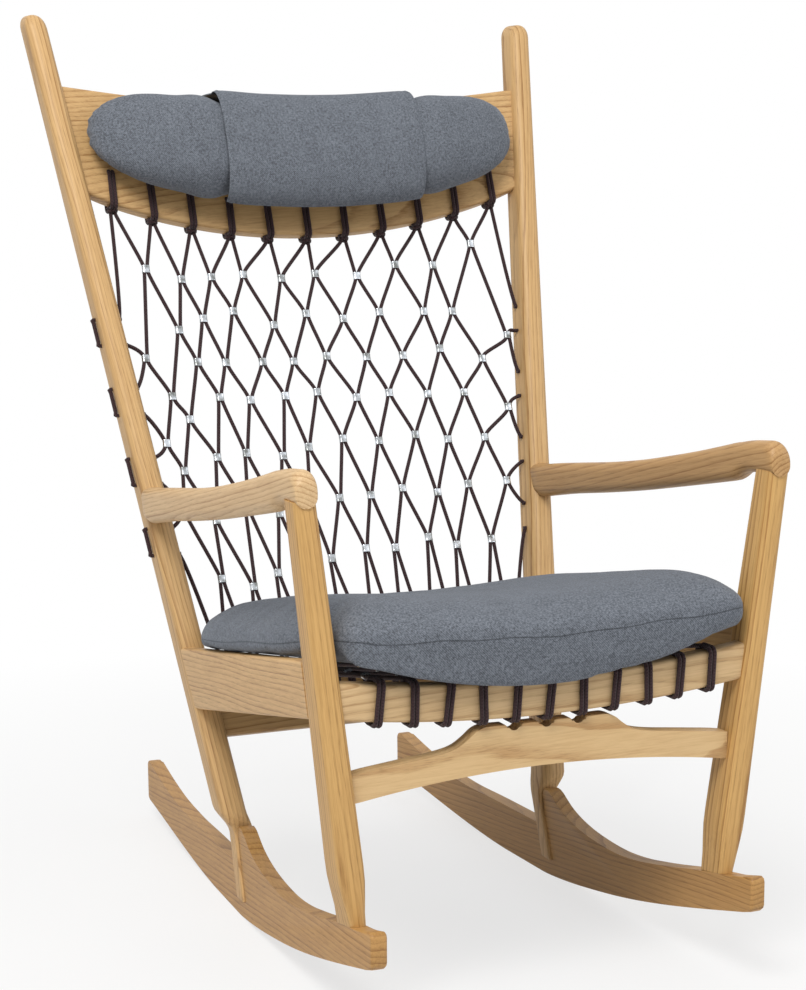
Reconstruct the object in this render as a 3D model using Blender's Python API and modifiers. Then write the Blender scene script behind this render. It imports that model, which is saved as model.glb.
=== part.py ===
"""Rocking lounge chair: an ash frame on two curved rockers, a corded back and seat deck,
a loose seat cushion and a head cushion whose saddle hangs over the top rail.

Metres, +Z up. The chair faces -Y and its left side is +X. Forward places are given as
"reach": metres in front of the point where the rockers touch the floor. At the end the
whole chair moves so that the origin is the middle of its footprint."""

import math

import bmesh
import bpy
from mathutils import Vector

# Fits
GAP = 0.0003
CORD_CLEARANCE = 0.0006
REST_GAP = 0.0009

# Rockers: a board whose underside is nearly an arc, easing off towards both ends
ROCKER_REAR = -0.368
ROCKER_FRONT = 0.540
ROCKER_RADIUS = 1.55
ROCKER_LEAD = 0.21
ROCKER_EASE = 0.43
ROCKER_THICKNESS = 0.018
ROCKER_HALF_SPREAD = 0.2010
ROCKER_TOE = 0.038
ROCKER_WAIST = 0.060
ROCKER_HUMP = 0.1090
ROCKER_PAD = 0.1114
ROCKER_PAD_RISE = 0.17
ROCKER_PAD_HALF = 0.045
ROCKER_TIP_HEIGHT = 0.038
ROCKER_EDGE = 0.003
ROCKER_FLAT_REAR = 0.030
ROCKER_FLAT_FRONT = 0.078
ROCKER_FLAT_EASE = 0.150
HUMP_FIT = 0.0012

# Back posts, straight, splayed sideways and leaning back
POST_HALF_SPREAD = 0.1982
POST_SPLAY = 0.1316
POST_REACH = 0.0931
POST_LEAN = 0.3836
POST_TOP = 1.080
POST_CROWN = 0.080
POST_WAIST = 0.45
POST_WIDTH_LOW = 0.032
POST_WIDTH_HIGH = 0.028
POST_DEPTH_LOW = 0.049
POST_DEPTH_HIGH = 0.045
POST_ROUNDING = 0.011
POST_FOOT = 0.021
POST_CHEEK = 0.003
POST_TONGUE_DEPTH = 0.0245
POST_TONGUE_CORNER = 0.003
POST_NECK = 0.095
POST_SHOULDER = 0.125
SLOT_RELIEF = 0.0025
LEAN_LENGTH = math.hypot(1, POST_LEAN)

# Front legs
LEG_HALF_SPREAD = 0.2052
LEG_SPLAY = 0.1225
LEG_REACH = 0.4541
LEG_LEAN = 0.0198
LEG_WIDTH_LOW = 0.031
LEG_WIDTH_HIGH = 0.025
LEG_DEPTH_LOW = 0.048
LEG_DEPTH_HIGH = 0.036
LEG_SCOOP = 0.175
ARM_SEAT = 0.5555

# Rails
TENON_LENGTH = 0.013
TENON_SHARE = 0.62
FRONT_RAIL_HEIGHT = 0.040
FRONT_RAIL_THICKNESS = 0.022
FRONT_RAIL_END = 0.355
FRONT_RAIL_DIP = 0.018
FRONT_RAIL_FORWARD = 0.0034
SIDE_RAIL_THICKNESS = 0.020
SIDE_RAIL_TOP = 0.3135
SIDE_RAIL_TOP_RISE = 0.180
SIDE_RAIL_BOTTOM = 0.2425
SIDE_RAIL_BOTTOM_RISE = 0.199
SIDE_RAIL_REAR_MIDDLE = 0.278
SIDE_RAIL_FRONT_MIDDLE = 0.362
REAR_RAIL_CENTRE = 0.243
REAR_RAIL_HEIGHT = 0.082
REAR_RAIL_THICKNESS = 0.022
TOP_RAIL_THICKNESS = 0.022
TOP_RAIL_SAG = 0.030
SHEAR_POWER = 9
TOP_RAIL_DROP = 0.104
TOP_RAIL_TOP_MIDDLE = POST_TOP - TOP_RAIL_DROP
TOP_RAIL_TOP_END = TOP_RAIL_TOP_MIDDLE + 0.014
TOP_RAIL_BOTTOM_MIDDLE = TOP_RAIL_TOP_MIDDLE - 0.168
TOP_RAIL_BOTTOM_END = TOP_RAIL_BOTTOM_MIDDLE + 0.051

# Front stretcher with its three finger notches
STRETCHER_THICKNESS = 0.018
STRETCHER_FORWARD = 0.0008
STRETCHER_END = 0.2585
STRETCHER_END_HEIGHT = 0.030
STRETCHER_ARCH = 0.018
STRETCHER_CREST = 0.3095
STRETCHER_CREST_HALF = 0.072
STRETCHER_SHOULDER_HALF = 0.104
NOTCH_RADIUS = 0.008
NOTCH_PITCH = 0.038
NOTCH_COUNT = 3

# Arms
ARM_REAR = -0.067
ARM_FRONT = 0.4845
ARM_WIDTH_REAR = 0.033
ARM_WIDTH_FRONT = 0.026
ARM_OUTSET = 0.0025
ARM_WRAP = 0.010

# Dowels
DOWEL_DIAMETER = 0.008
DOWEL_LENGTH = 0.032
DOWEL_RELIEF = 0.0005
ARM_DOWEL_LENGTH = 0.022

# Cord work
CORD = 0.0050
LOOP_WIDTH = 0.0090
LOOP_CORNER = 0.0030
FERRULE_WIDTH = 0.0098
FERRULE_DEPTH = 0.0052
FERRULE_LENGTH = 0.0100
TOP_LOOP_HEIGHT = 0.040
REAR_LOOP_HEIGHT = 0.034
LOOP_HOLE_RELIEF = 0.0016
COLUMNS = 10
TOP_LOOP_MARGIN = 0.034
REAR_LOOP_MARGIN = 0.018
FRONT_LOOP_MARGIN = 0.054
NET_ROWS_MIDDLE = (0.9009, 0.8053, 0.7115, 0.6283, 0.5204, 0.4053, 0.2814)
NET_ROWS_SIDE = (0.8708, 0.7823, 0.7080, 0.6319, 0.5575, 0.4814, 0.4106)
SIDE_LEVELS_OVER_ARM = (0.5786, 0.2884)
STITCH_OVER_ARM = 0.0155
STITCH_UNDER_ARM = 0.025
STITCH = 0.031
DECK_ROWS = (0.395, 0.295, 0.190, 0.085)
DECK_LIFT = 0.0045

# Soft parts
SEAT_FRONT = 0.500
SEAT_REAR = -0.014
SEAT_HALF_WIDTH = 0.264
SEAT_FRONT_HALF_WIDTH = 0.2385
SEAT_LOWER_DEPTH = 0.042
SEAT_CROWN = 0.044
SEAT_SQUARENESS = 7.0
HEAD_HALF_LENGTH = 0.290
HEAD_HEIGHT = 0.146
HEAD_THICKNESS = 0.076
HEAD_CENTRE = TOP_RAIL_TOP_MIDDLE - 0.071
SADDLE_THICKNESS = 0.003
SADDLE_STAND_OFF = 0.0014
SADDLE_CLEARANCE = 0.0016
SADDLE_HALF_WIDTH = 0.135
COUNTERWEIGHT_HEIGHT = 0.034
COUNTERWEIGHT_THICKNESS = 0.016

SIDES = {"left": 1, "right": -1}
ASH = (0.62, 0.44, 0.26, 1.0)
PALE_ASH = (0.72, 0.55, 0.36, 1.0)
BEECH = (0.70, 0.55, 0.38, 1.0)
CORD_COLOUR = (0.035, 0.018, 0.020, 1.0)
CLOTH_COLOUR = (0.095, 0.115, 0.145, 1.0)


def clear_scene():
    for thing in list(bpy.data.objects):
        bpy.data.objects.remove(thing, do_unlink=True)


def new_collection(name):
    group = bpy.data.collections.new(name)
    bpy.context.scene.collection.children.link(group)
    return group


def finish(name, colour, roughness, metallic=0.0):
    material = bpy.data.materials.new(name)
    material.use_nodes = True
    shader = material.node_tree.nodes["Principled BSDF"]
    shader.inputs["Base Color"].default_value = colour
    shader.inputs["Roughness"].default_value = roughness
    shader.inputs["Metallic"].default_value = metallic
    material.diffuse_color = colour
    return material


def at(x, reach, z):
    return Vector((x, -reach, z))


def mix(a, b, share):
    return a + (b - a) * share


def slope(line, z):
    """How fast a line of the frame moves with height."""
    return (line(z + 0.01) - line(z - 0.01)) / 0.02


def smooth(share):
    share = min(1.0, max(0.0, share))
    return share * share * (3 - 2 * share)


# Lines that the frame follows


def rocker_curve(reach):
    return reach**2 / (2 * ROCKER_RADIUS) + ROCKER_LEAD * reach**3 - ROCKER_EASE * reach**4


def rocker_under(reach):
    """The curve with a short flat stretch, on which the empty chair stands still."""
    if -ROCKER_FLAT_REAR < reach < ROCKER_FLAT_FRONT:
        return 0.0
    edge = ROCKER_FLAT_FRONT if reach > 0 else -ROCKER_FLAT_REAR
    faded = 1 - smooth((abs(reach) - abs(edge)) / ROCKER_FLAT_EASE)
    return max(0.0, rocker_curve(reach) - rocker_curve(edge) * faded)


def rocker_x(reach):
    return ROCKER_HALF_SPREAD + ROCKER_TOE * reach


def rocker_top_at_leg(reach):
    return ROCKER_PAD + ROCKER_PAD_RISE * (reach - LEG_REACH)


def post_reach(z):
    return POST_REACH - POST_LEAN * z


def tongue_share(z):
    """0 above the shoulder, 1 where the post has narrowed to the tongue that straddles the rocker."""
    return smooth((POST_SHOULDER - z) / (POST_SHOULDER - POST_NECK))


def post_x(z):
    return mix(POST_HALF_SPREAD + POST_SPLAY * z, rocker_x(post_reach(z)), tongue_share(z))


def post_size(z):
    share = (z - POST_SHOULDER) / (POST_TOP - POST_SHOULDER)
    width = mix(POST_WIDTH_LOW, POST_WIDTH_HIGH, share)
    depth = mix(POST_DEPTH_LOW, POST_DEPTH_HIGH, share)
    width = mix(width, ROCKER_THICKNESS + 2 * POST_CHEEK, tongue_share(z))
    depth = mix(depth, POST_TONGUE_DEPTH, tongue_share(z))
    return width, depth


def post_front(z):
    return post_reach(z) + post_size(z)[1] / 2


def post_inner(z):
    return post_x(z) - post_size(z)[0] / 2


def leg_x(z):
    return LEG_HALF_SPREAD + LEG_SPLAY * z


def leg_reach(z):
    return LEG_REACH + LEG_LEAN * z


def leg_size(z):
    low = rocker_top_at_leg(LEG_REACH)
    share = (z - low) / (ARM_SEAT - low)
    width = mix(LEG_WIDTH_LOW, LEG_WIDTH_HIGH, share)
    depth = mix(LEG_DEPTH_LOW, LEG_DEPTH_HIGH, share)
    if z < LEG_SCOOP:
        width = mix(width, ROCKER_THICKNESS, 1 - smooth((z - low) / (LEG_SCOOP - low)))
    return width, depth


def leg_inner(z):
    return leg_x(z) - leg_size(z)[0] / 2


def leg_rear(z):
    return leg_reach(z) - leg_size(z)[1] / 2


def top_rail_sag(x):
    end = post_x(HEAD_CENTRE)
    return TOP_RAIL_SAG * (1 - (x / end) ** 2)


def top_rail_span(x):
    share = (x / post_x(HEAD_CENTRE)) ** 2
    bottom = mix(TOP_RAIL_BOTTOM_MIDDLE, TOP_RAIL_BOTTOM_END, share)
    top = mix(TOP_RAIL_TOP_MIDDLE, TOP_RAIL_TOP_END, share)
    return bottom, top


def front_rail_reach():
    return leg_reach(FRONT_RAIL_END) + FRONT_RAIL_FORWARD


def stretcher_reach():
    return leg_reach(STRETCHER_END) + STRETCHER_FORWARD


def front_rail_centre(x):
    end = leg_x(FRONT_RAIL_END)
    return FRONT_RAIL_END - FRONT_RAIL_DIP * (1 - (x / end) ** 2)


# Shape helpers


def rounded_rectangle(width, height, radius, steps=2):
    """Points round a rectangle centred on zero, anticlockwise from its right-hand lower corner."""
    radius = min(radius, 0.49 * width, 0.49 * height)
    points = []
    corners = ((1, -1, -90), (1, 1, 0), (-1, 1, 90), (-1, -1, 180))
    for right, up, start in corners:
        centre_u = right * (width / 2 - radius)
        centre_v = up * (height / 2 - radius)
        for step in range(steps + 1):
            angle = math.radians(start + 90 * step / steps)
            points.append((centre_u + radius * math.cos(angle), centre_v + radius * math.sin(angle)))
    return points


def ring(centre, across, along, points):
    return [centre + across * u + along * v for u, v in points]


def level_ring(x, reach, z, points):
    return ring(at(x, reach, z), Vector((1, 0, 0)), Vector((0, 1, 0)), points)


def add_object(name, mesh, material, group):
    thing = bpy.data.objects.new(name, mesh)
    group.objects.link(thing)
    if material:
        mesh.materials.append(material)
    return thing


def turn_outward(form):
    bmesh.ops.recalc_face_normals(form, faces=form.faces)
    if form.calc_volume(signed=True) < 0:
        bmesh.ops.reverse_faces(form, faces=form.faces)


def mesh_from(name, form):
    turn_outward(form)
    mesh = bpy.data.meshes.new(name)
    form.to_mesh(mesh)
    form.free()
    mesh.shade_smooth()
    mesh.set_sharp_from_angle(angle=math.radians(40))
    return mesh


def loft_into(form, rings, closed=False):
    rows = [[form.verts.new(point) for point in points] for points in rings]
    count = len(rows[0])
    pairs = list(zip(rows, rows[1:]))
    if closed:
        pairs.append((rows[-1], rows[0]))
    for lower, upper in pairs:
        for i in range(count):
            j = (i + 1) % count
            form.faces.new((lower[i], lower[j], upper[j], upper[i]))
    if not closed:
        form.faces.new(rows[0])
        form.faces.new(rows[-1])


def loft(name, rings, material, group):
    """A closed body through rings of equal point counts, its two ends capped."""
    form = bmesh.new()
    loft_into(form, rings)
    return add_object(name, mesh_from(name, form), material, group)


def board(name, outline, thickness, edge, material, group):
    """A board cut from a flat outline in reach and height, standing on edge across X."""
    curve = bpy.data.curves.new(name, "CURVE")
    curve.dimensions = "2D"
    curve.fill_mode = "BOTH"
    curve.extrude = thickness / 2
    spline = curve.splines.new("POLY")
    spline.points.add(len(outline) - 1)
    for point, (u, v) in zip(spline.points, outline):
        point.co = (u, v, 0, 1)
    spline.use_cyclic_u = True
    guide = bpy.data.objects.new(name + "_outline", curve)
    group.objects.link(guide)
    bpy.context.view_layer.update()
    graph = bpy.context.evaluated_depsgraph_get()
    mesh = bpy.data.meshes.new_from_object(guide.evaluated_get(graph))
    bpy.data.objects.remove(guide, do_unlink=True)
    form = bmesh.new()
    form.from_mesh(mesh)
    bmesh.ops.remove_doubles(form, verts=form.verts, dist=0.00001)
    bmesh.ops.dissolve_limit(form, angle_limit=0.001, verts=form.verts, edges=form.edges)
    bpy.data.meshes.remove(mesh)
    thing = add_object(name, mesh_from(name, form), material, group)
    bevel = thing.modifiers.new("edges", "BEVEL")
    bevel.width = edge
    bevel.segments = 2
    bevel.limit_method = "ANGLE"
    bevel.angle_limit = math.radians(50)
    return thing


def box(name, centre, size, group):
    form = bmesh.new()
    bmesh.ops.create_cube(form, size=1.0)
    for vertex in form.verts:
        vertex.co = Vector(c * s for c, s in zip(vertex.co, size)) + centre
    return add_object(name, mesh_from(name, form), None, group)


def rod(name, start, end, diameter, sides, material, group):
    """A straight round bar between two points."""
    form = bmesh.new()
    length = (end - start).length
    bmesh.ops.create_cone(
        form,
        cap_ends=True,
        segments=sides,
        radius1=diameter / 2,
        radius2=diameter / 2,
        depth=length,
    )
    turn = (end - start).to_track_quat("Z", "Y").to_matrix().to_4x4()
    turn.translation = (start + end) / 2
    bmesh.ops.transform(form, matrix=turn, verts=form.verts)
    return add_object(name, mesh_from(name, form), material, group)


def as_cutter(thing):
    thing.hide_render = True
    thing.display_type = "WIRE"
    return thing


def cut(thing, cutter):
    modifier = thing.modifiers.new("cut_" + cutter.name, "BOOLEAN")
    modifier.operation = "DIFFERENCE"
    modifier.object = cutter


# Frame


def post_rings(side, grow=0.0):
    heights = [POST_FOOT] + [mix(POST_NECK, POST_SHOULDER, share) for share in (0, 0.35, 0.7, 1)]
    heights += [POST_WAIST, POST_TOP - POST_CROWN]
    rings = []
    for z in heights:
        width, depth = post_size(z)
        corner = mix(POST_ROUNDING, POST_TONGUE_CORNER, tongue_share(z)) + grow
        points = rounded_rectangle(width + 2 * grow, depth + 2 * grow, corner)
        rings.append(level_ring(side * post_x(z), post_reach(z), z, points))
    for below_top, share in ((0.016, 1.0), (0.007, 0.86), (0.0015, 0.58), (0.0, 0.30)):
        z = POST_TOP - below_top
        width, depth = post_size(z)
        width, depth = (width + 2 * grow) * share, (depth + 2 * grow) * share
        points = rounded_rectangle(width, depth, POST_ROUNDING * share + grow)
        rings.append(level_ring(side * post_x(z), post_reach(z), z, points))
    return rings


ROCKER_HOLLOW = [
    # reach, height: the top edge from the leg's pad back to the hump
    (0.393, 0.0982),
    (0.365, 0.0920),
    (0.335, 0.0860),
    (0.305, 0.0805),
    (0.275, 0.0768),
    (0.250, 0.0752),
    (0.225, 0.0753),
    (0.200, 0.0765),
    (0.178, 0.0785),
    (0.158, 0.0815),
    (0.137, 0.0862),
    (0.118, 0.0925),
    (0.103, 0.1000),
    (0.094, 0.1050),
    (0.086, 0.1080),
]
ROCKER_TAIL = [
    # reach, height: the top edge behind the post, back to the rear tip
    (-0.060, ROCKER_WAIST - 0.0010),
    (-0.130, 0.0572),
    (-0.170, 0.0578),
    (-0.200, 0.0587),
    (-0.230, 0.0605),
    (-0.260, 0.0638),
    (-0.290, 0.0680),
    (-0.320, 0.0730),
    (-0.350, 0.0785),
    (-0.362, 0.0785),
    (-0.369, 0.0740),
]


def rocker_outline():
    """Underside from rear to front, then the top edge back over the hump behind the post."""
    steps = 12
    tip_reach = ROCKER_FRONT - 0.006
    rear = [mix(ROCKER_REAR, -ROCKER_FLAT_REAR, i / steps) for i in range(steps + 1)]
    front = [mix(ROCKER_FLAT_FRONT, tip_reach, i / (steps + 3)) for i in range(steps + 4)]
    outline = [(reach, rocker_under(reach)) for reach in rear + front]
    tip = rocker_under(ROCKER_FRONT)
    tip_top = tip + ROCKER_TIP_HEIGHT
    outline += [(ROCKER_FRONT, tip + 0.005), (ROCKER_FRONT, tip_top - 0.005), (tip_reach, tip_top)]
    pad = (LEG_REACH + ROCKER_PAD_HALF, LEG_REACH - ROCKER_PAD_HALF)
    outline += [(reach, rocker_top_at_leg(reach)) for reach in pad]
    outline += ROCKER_HOLLOW
    outline += [(post_front(ROCKER_HUMP) + HUMP_FIT + 0.005, ROCKER_HUMP)]
    for height in (ROCKER_HUMP - 0.004, POST_NECK, ROCKER_WAIST):
        outline += [(post_front(height) + HUMP_FIT, height)]
    outline += ROCKER_TAIL
    return outline


def make_rocker(name, side, wood, group):
    thing = board(name, rocker_outline(), ROCKER_THICKNESS, ROCKER_EDGE, wood, group)
    turn = Vector((side * ROCKER_TOE, -1, 0)).normalized()
    across = Vector((-turn.y, turn.x, 0))
    for vertex in thing.data.vertices:
        reach, height, offset = vertex.co
        base = Vector((side * ROCKER_HALF_SPREAD, 0, 0))
        vertex.co = base + turn * reach + across * offset + Vector((0, 0, height))
    form = bmesh.new()
    form.from_mesh(thing.data)
    turn_outward(form)
    form.to_mesh(thing.data)
    form.free()
    return thing


def make_post(name, side, wood, group, cutters):
    thing = loft(name, post_rings(side), wood, group)
    slot_top = ROCKER_WAIST + SLOT_RELIEF + GAP
    size = (ROCKER_THICKNESS + 2 * GAP, 0.2, slot_top)
    slot = box(name + "_slot", Vector((0, 0, slot_top / 2)), size, cutters)
    middle = post_reach(ROCKER_WAIST)
    slot.location = at(side * rocker_x(middle), middle, 0)
    slot.rotation_euler = (0, 0, side * ROCKER_TOE)
    cut(thing, as_cutter(slot))
    return thing


def leg_rings(side):
    low = rocker_top_at_leg(LEG_REACH)
    heights = [low, low + 0.022, low + 0.045, LEG_SCOOP, 0.35, ARM_SEAT - GAP]
    rings = []
    for z in heights:
        width, depth = leg_size(z)
        points = rounded_rectangle(width, depth, 0.007)
        rings.append(level_ring(side * leg_x(z), leg_reach(z), z, points))
    rings[0] = [Vector((p.x, p.y, rocker_top_at_leg(-p.y) + GAP)) for p in rings[0]]
    width, depth = leg_size(ARM_SEAT)
    for z in (ARM_SEAT - GAP, ARM_SEAT + TENON_LENGTH):
        points = rounded_rectangle(width * TENON_SHARE, depth * TENON_SHARE, 0.002, steps=2)
        rings.append(level_ring(side * leg_x(z), leg_reach(z), z, points))
    return rings


def make_leg(name, side, wood, group):
    return loft(name, leg_rings(side), wood, group)


ARM_LINE = (
    # reach, underside, top
    (-0.056, 0.4612, 0.5034),
    (-0.030, 0.4660, 0.5080),
    (0.030, 0.4765, 0.5160),
    (0.110, 0.4885, 0.5265),
    (0.190, 0.5015, 0.5390),
    (0.260, 0.5143, 0.5525),
    (0.320, 0.5255, 0.5650),
    (0.380, 0.5370, 0.5790),
    (0.402, 0.5425, 0.5840),
    (0.418, 0.5500, 0.5870),
    (0.440, ARM_SEAT, 0.5905),
    (0.466, ARM_SEAT, 0.5930),
    (0.478, ARM_SEAT, 0.5895),
)


def arm_ring(side, reach, under, top, share=1.0):
    along = (reach - ARM_REAR) / (ARM_FRONT - ARM_REAR)
    width = mix(ARM_WIDTH_REAR, ARM_WIDTH_FRONT, along) * share
    x = mix(post_x((ARM_LINE[0][1] + ARM_LINE[0][2]) / 2) + ARM_OUTSET, leg_x(ARM_SEAT), along)
    points = rounded_rectangle(width, top - under, 0.012 * share, steps=3)
    return ring(at(side * x, reach, (under + top) / 2), Vector((1, 0, 0)), Vector((0, 0, 1)), points)


def make_arm(name, side, wood, group, cutters):
    _, under, top = ARM_LINE[0]
    rings = []
    for wrap, trim, share in ((ARM_WRAP, 0.005, 0.84), (ARM_WRAP * 0.6, 0.0015, 0.96)):
        points = arm_ring(side, ARM_REAR, under + trim, top - trim, share)
        rings.append([Vector((p.x, wrap - post_front(p.z), p.z)) for p in points])
    rings += [arm_ring(side, *stop) for stop in ARM_LINE]
    rings.append(arm_ring(side, ARM_FRONT, ARM_SEAT + 0.001, ARM_LINE[-1][2] - 0.007, share=0.84))
    thing = loft(name, rings, wood, group)
    notch = loft(name + "_notch", post_rings(side, grow=GAP), None, cutters)
    cut(thing, as_cutter(notch))
    rings = []
    for z in (ARM_SEAT - 0.02, ARM_SEAT + TENON_LENGTH + GAP):
        width, depth = leg_size(ARM_SEAT)
        width, depth = width * TENON_SHARE + 2 * GAP, depth * TENON_SHARE + 2 * GAP
        points = rounded_rectangle(width, depth, 0.002)
        rings.append(level_ring(side * leg_x(z), leg_reach(z), z, points))
    cut(thing, as_cutter(loft(name + "_socket", rings, None, cutters)))
    return thing


def rail_ends(stations):
    """Each end station with the direction in which its tenon points."""
    first = (stations[0][0] - stations[1][0]).normalized()
    last = (stations[-1][0] - stations[-2][0]).normalized()
    return (stations[0], first), (stations[-1], last)


def rail_with_tenons(name, stations, wood, group):
    """stations: (centre, across, along, width, height) from end to end. Each end gets a tenon."""
    rings = []
    for centre, across, along, width, height in stations:
        rings.append(ring(centre, across, along, rounded_rectangle(width, height, 0.004)))
    ends = []
    for station, direction in rail_ends(stations):
        centre, across, along, width, height = station
        slim = rounded_rectangle(width * TENON_SHARE, height * TENON_SHARE, 0.002)
        shoulder = ring(centre, across, along, slim)
        ends.append((shoulder, ring(centre + direction * TENON_LENGTH, across, along, slim)))
    rings = [ends[0][1], ends[0][0]] + rings + [ends[1][0], ends[1][1]]
    return loft(name, rings, wood, group)


def mortise(thing, station, direction, cutters, label, share=TENON_SHARE, corner=0.002):
    centre, across, along, width, height = station
    size = rounded_rectangle(width * share + 2 * GAP, height * share + 2 * GAP, corner)
    rings = [ring(centre - direction * 0.02, across, along, size)]
    rings.append(ring(centre + direction * (TENON_LENGTH + GAP), across, along, size))
    cut(thing, as_cutter(loft(label, rings, None, cutters)))


def front_rail_stations():
    end = leg_inner(front_rail_centre(leg_inner(FRONT_RAIL_END))) - GAP
    stations = []
    for i in range(13):
        x = mix(-end, end, i / 12)
        centre = at(x, front_rail_reach(), front_rail_centre(x))
        along = Vector((slope(leg_inner, FRONT_RAIL_END) * x / end, 0, 1))
        level = Vector((0, 1, 0))
        stations.append((centre, level, along, FRONT_RAIL_THICKNESS, FRONT_RAIL_HEIGHT))
    return stations


def side_rail_ends():
    """Reach and outer face of the side rail at its rear end and at its front end."""
    rear = post_front(SIDE_RAIL_REAR_MIDDLE) + GAP
    front = leg_rear(SIDE_RAIL_FRONT_MIDDLE) - GAP
    rear_outer = 2 * post_x(SIDE_RAIL_REAR_MIDDLE) - post_inner(SIDE_RAIL_REAR_MIDDLE)
    front_outer = 2 * leg_x(SIDE_RAIL_FRONT_MIDDLE) - leg_inner(SIDE_RAIL_FRONT_MIDDLE)
    return rear, rear_outer, front, front_outer


def side_rail_stations(side):
    """From the post's front face to the leg's rear face, flush with their outer faces."""
    rear, rear_outer, front, front_outer = side_rail_ends()
    ends = (
        (rear, rear_outer, POST_SPLAY, slope(post_front, SIDE_RAIL_REAR_MIDDLE)),
        (front, front_outer, LEG_SPLAY, slope(leg_rear, SIDE_RAIL_FRONT_MIDDLE)),
    )
    stations = []
    for reach, outer, splay, lean in ends:
        top = SIDE_RAIL_TOP + SIDE_RAIL_TOP_RISE * reach
        bottom = SIDE_RAIL_BOTTOM + SIDE_RAIL_BOTTOM_RISE * reach
        middle = SIDE_RAIL_REAR_MIDDLE if reach == rear else SIDE_RAIL_FRONT_MIDDLE
        centre = at(side * (outer - SIDE_RAIL_THICKNESS / 2 - 0.0005), reach, middle)
        centre += Vector((side * splay, -lean, 1)) * ((top + bottom) / 2 - middle)
        along = Vector((side * splay, -lean, 1))
        stations.append((centre, Vector((1, 0, 0)), along, SIDE_RAIL_THICKNESS, top - bottom))
    return stations


def back_plane(splay):
    """Directions through and up the plane of the back, sheared sideways by splay per metre of height."""
    across = Vector((-splay * POST_LEAN, 1, -POST_LEAN)) / LEAN_LENGTH
    along = Vector((splay, POST_LEAN, 1)) / LEAN_LENGTH
    return across, along


def rear_rail_stations():
    end = post_inner(REAR_RAIL_CENTRE) - GAP
    stations = []
    for x, share in ((-end, -1), (end, 1)):
        centre = at(x, post_reach(REAR_RAIL_CENTRE), REAR_RAIL_CENTRE)
        across, along = back_plane(share * slope(post_inner, REAR_RAIL_CENTRE))
        stations.append((centre, across, along, REAR_RAIL_THICKNESS, REAR_RAIL_HEIGHT))
    return stations


def top_rail_stations():
    middle = sum(top_rail_span(post_inner(HEAD_CENTRE))) / 2
    end = post_inner(middle) - GAP
    stations = []
    for i in range(13):
        x = mix(-end, end, i / 12)
        bottom, top = top_rail_span(x)
        centre_z = (bottom + top) / 2
        across, along = back_plane(slope(post_inner, middle) * (x / end) ** SHEAR_POWER)
        centre = at(x, post_reach(centre_z), centre_z) + across * top_rail_sag(x)
        stations.append((centre, across, along, TOP_RAIL_THICKNESS, (top - bottom) * LEAN_LENGTH))
    return stations


def stretcher_outline():
    """Front view, X and height: an arched bar whose raised middle holds half-round notches."""
    half = STRETCHER_END_HEIGHT / 2
    end = leg_inner(STRETCHER_END - half)

    def arch(x):
        return STRETCHER_ARCH * (1 - (x / end) ** 2)

    under = [mix(-end, end, i / 10) for i in range(11)]
    outline = [(x, STRETCHER_END - half + arch(x)) for x in under]
    housed = [(leg_inner(z) + TENON_LENGTH, z) for z in (STRETCHER_END - half, STRETCHER_END + half)]
    housed += [(leg_inner(STRETCHER_END + half), STRETCHER_END + half)]
    outline += housed
    upper = [(0.160, STRETCHER_END + half + arch(0.160) - 0.001)]
    upper += [(0.125, STRETCHER_END + half + arch(0.125) - 0.001)]
    rise = STRETCHER_END + half + arch(STRETCHER_SHOULDER_HALF)
    upper += [(STRETCHER_SHOULDER_HALF, rise)]
    upper += [(mix(STRETCHER_SHOULDER_HALF, STRETCHER_CREST_HALF, 0.45), mix(rise, STRETCHER_CREST, 0.35))]
    upper += [(mix(STRETCHER_SHOULDER_HALF, STRETCHER_CREST_HALF, 0.80), mix(rise, STRETCHER_CREST, 0.85))]
    upper += [(STRETCHER_CREST_HALF - 0.004, STRETCHER_CREST)]
    outline += upper
    for index in range(NOTCH_COUNT):
        middle = (NOTCH_COUNT - 1) / 2 - index
        for step in range(7):
            angle = math.radians(30 * step)
            across = middle * NOTCH_PITCH + NOTCH_RADIUS * math.cos(angle)
            outline.append((across, STRETCHER_CREST - NOTCH_RADIUS * math.sin(angle)))
    outline += [(-x, z) for x, z in reversed(upper)]
    outline += [(-x, z) for x, z in reversed(housed)]
    return outline


def make_stretcher(wood, group):
    thing = board("front_stretcher", stretcher_outline(), STRETCHER_THICKNESS, 0.0015, wood, group)
    for vertex in thing.data.vertices:
        x, z, offset = vertex.co
        vertex.co = at(x, stretcher_reach() + offset, z)
    form = bmesh.new()
    form.from_mesh(thing.data)
    turn_outward(form)
    form.to_mesh(thing.data)
    form.free()
    return thing


def stretcher_station(side):
    """The whole end of the stretcher is housed in the leg, without a shoulder."""
    centre = at(side * leg_inner(STRETCHER_END), stretcher_reach(), STRETCHER_END)
    along = Vector((side * slope(leg_inner, STRETCHER_END), 0, 1))
    return (centre, Vector((0, 1, 0)), along, STRETCHER_THICKNESS, STRETCHER_END_HEIGHT)


def dowel(name, start, end, pieces, wood, group, cutters):
    """A round pin shared by two pieces, each bored a little wider and deeper than the pin."""
    run = (end - start).normalized()
    rod(name, start, end, DOWEL_DIAMETER, 16, wood, group)
    mouth, bottom = start - run * DOWEL_RELIEF, end + run * DOWEL_RELIEF
    bore = as_cutter(rod(name + "_bore", mouth, bottom, DOWEL_DIAMETER + 2 * GAP, 16, None, cutters))
    for piece in pieces:
        cut(piece, bore)


def foot_dowel_ends(side):
    """Along the leg's own line, half in the leg and half in the rocker."""
    joint = rocker_top_at_leg(LEG_REACH)
    heights = (joint - DOWEL_LENGTH / 2, joint + DOWEL_LENGTH / 2)
    return [at(side * leg_x(z), leg_reach(z), z) for z in heights]


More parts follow.
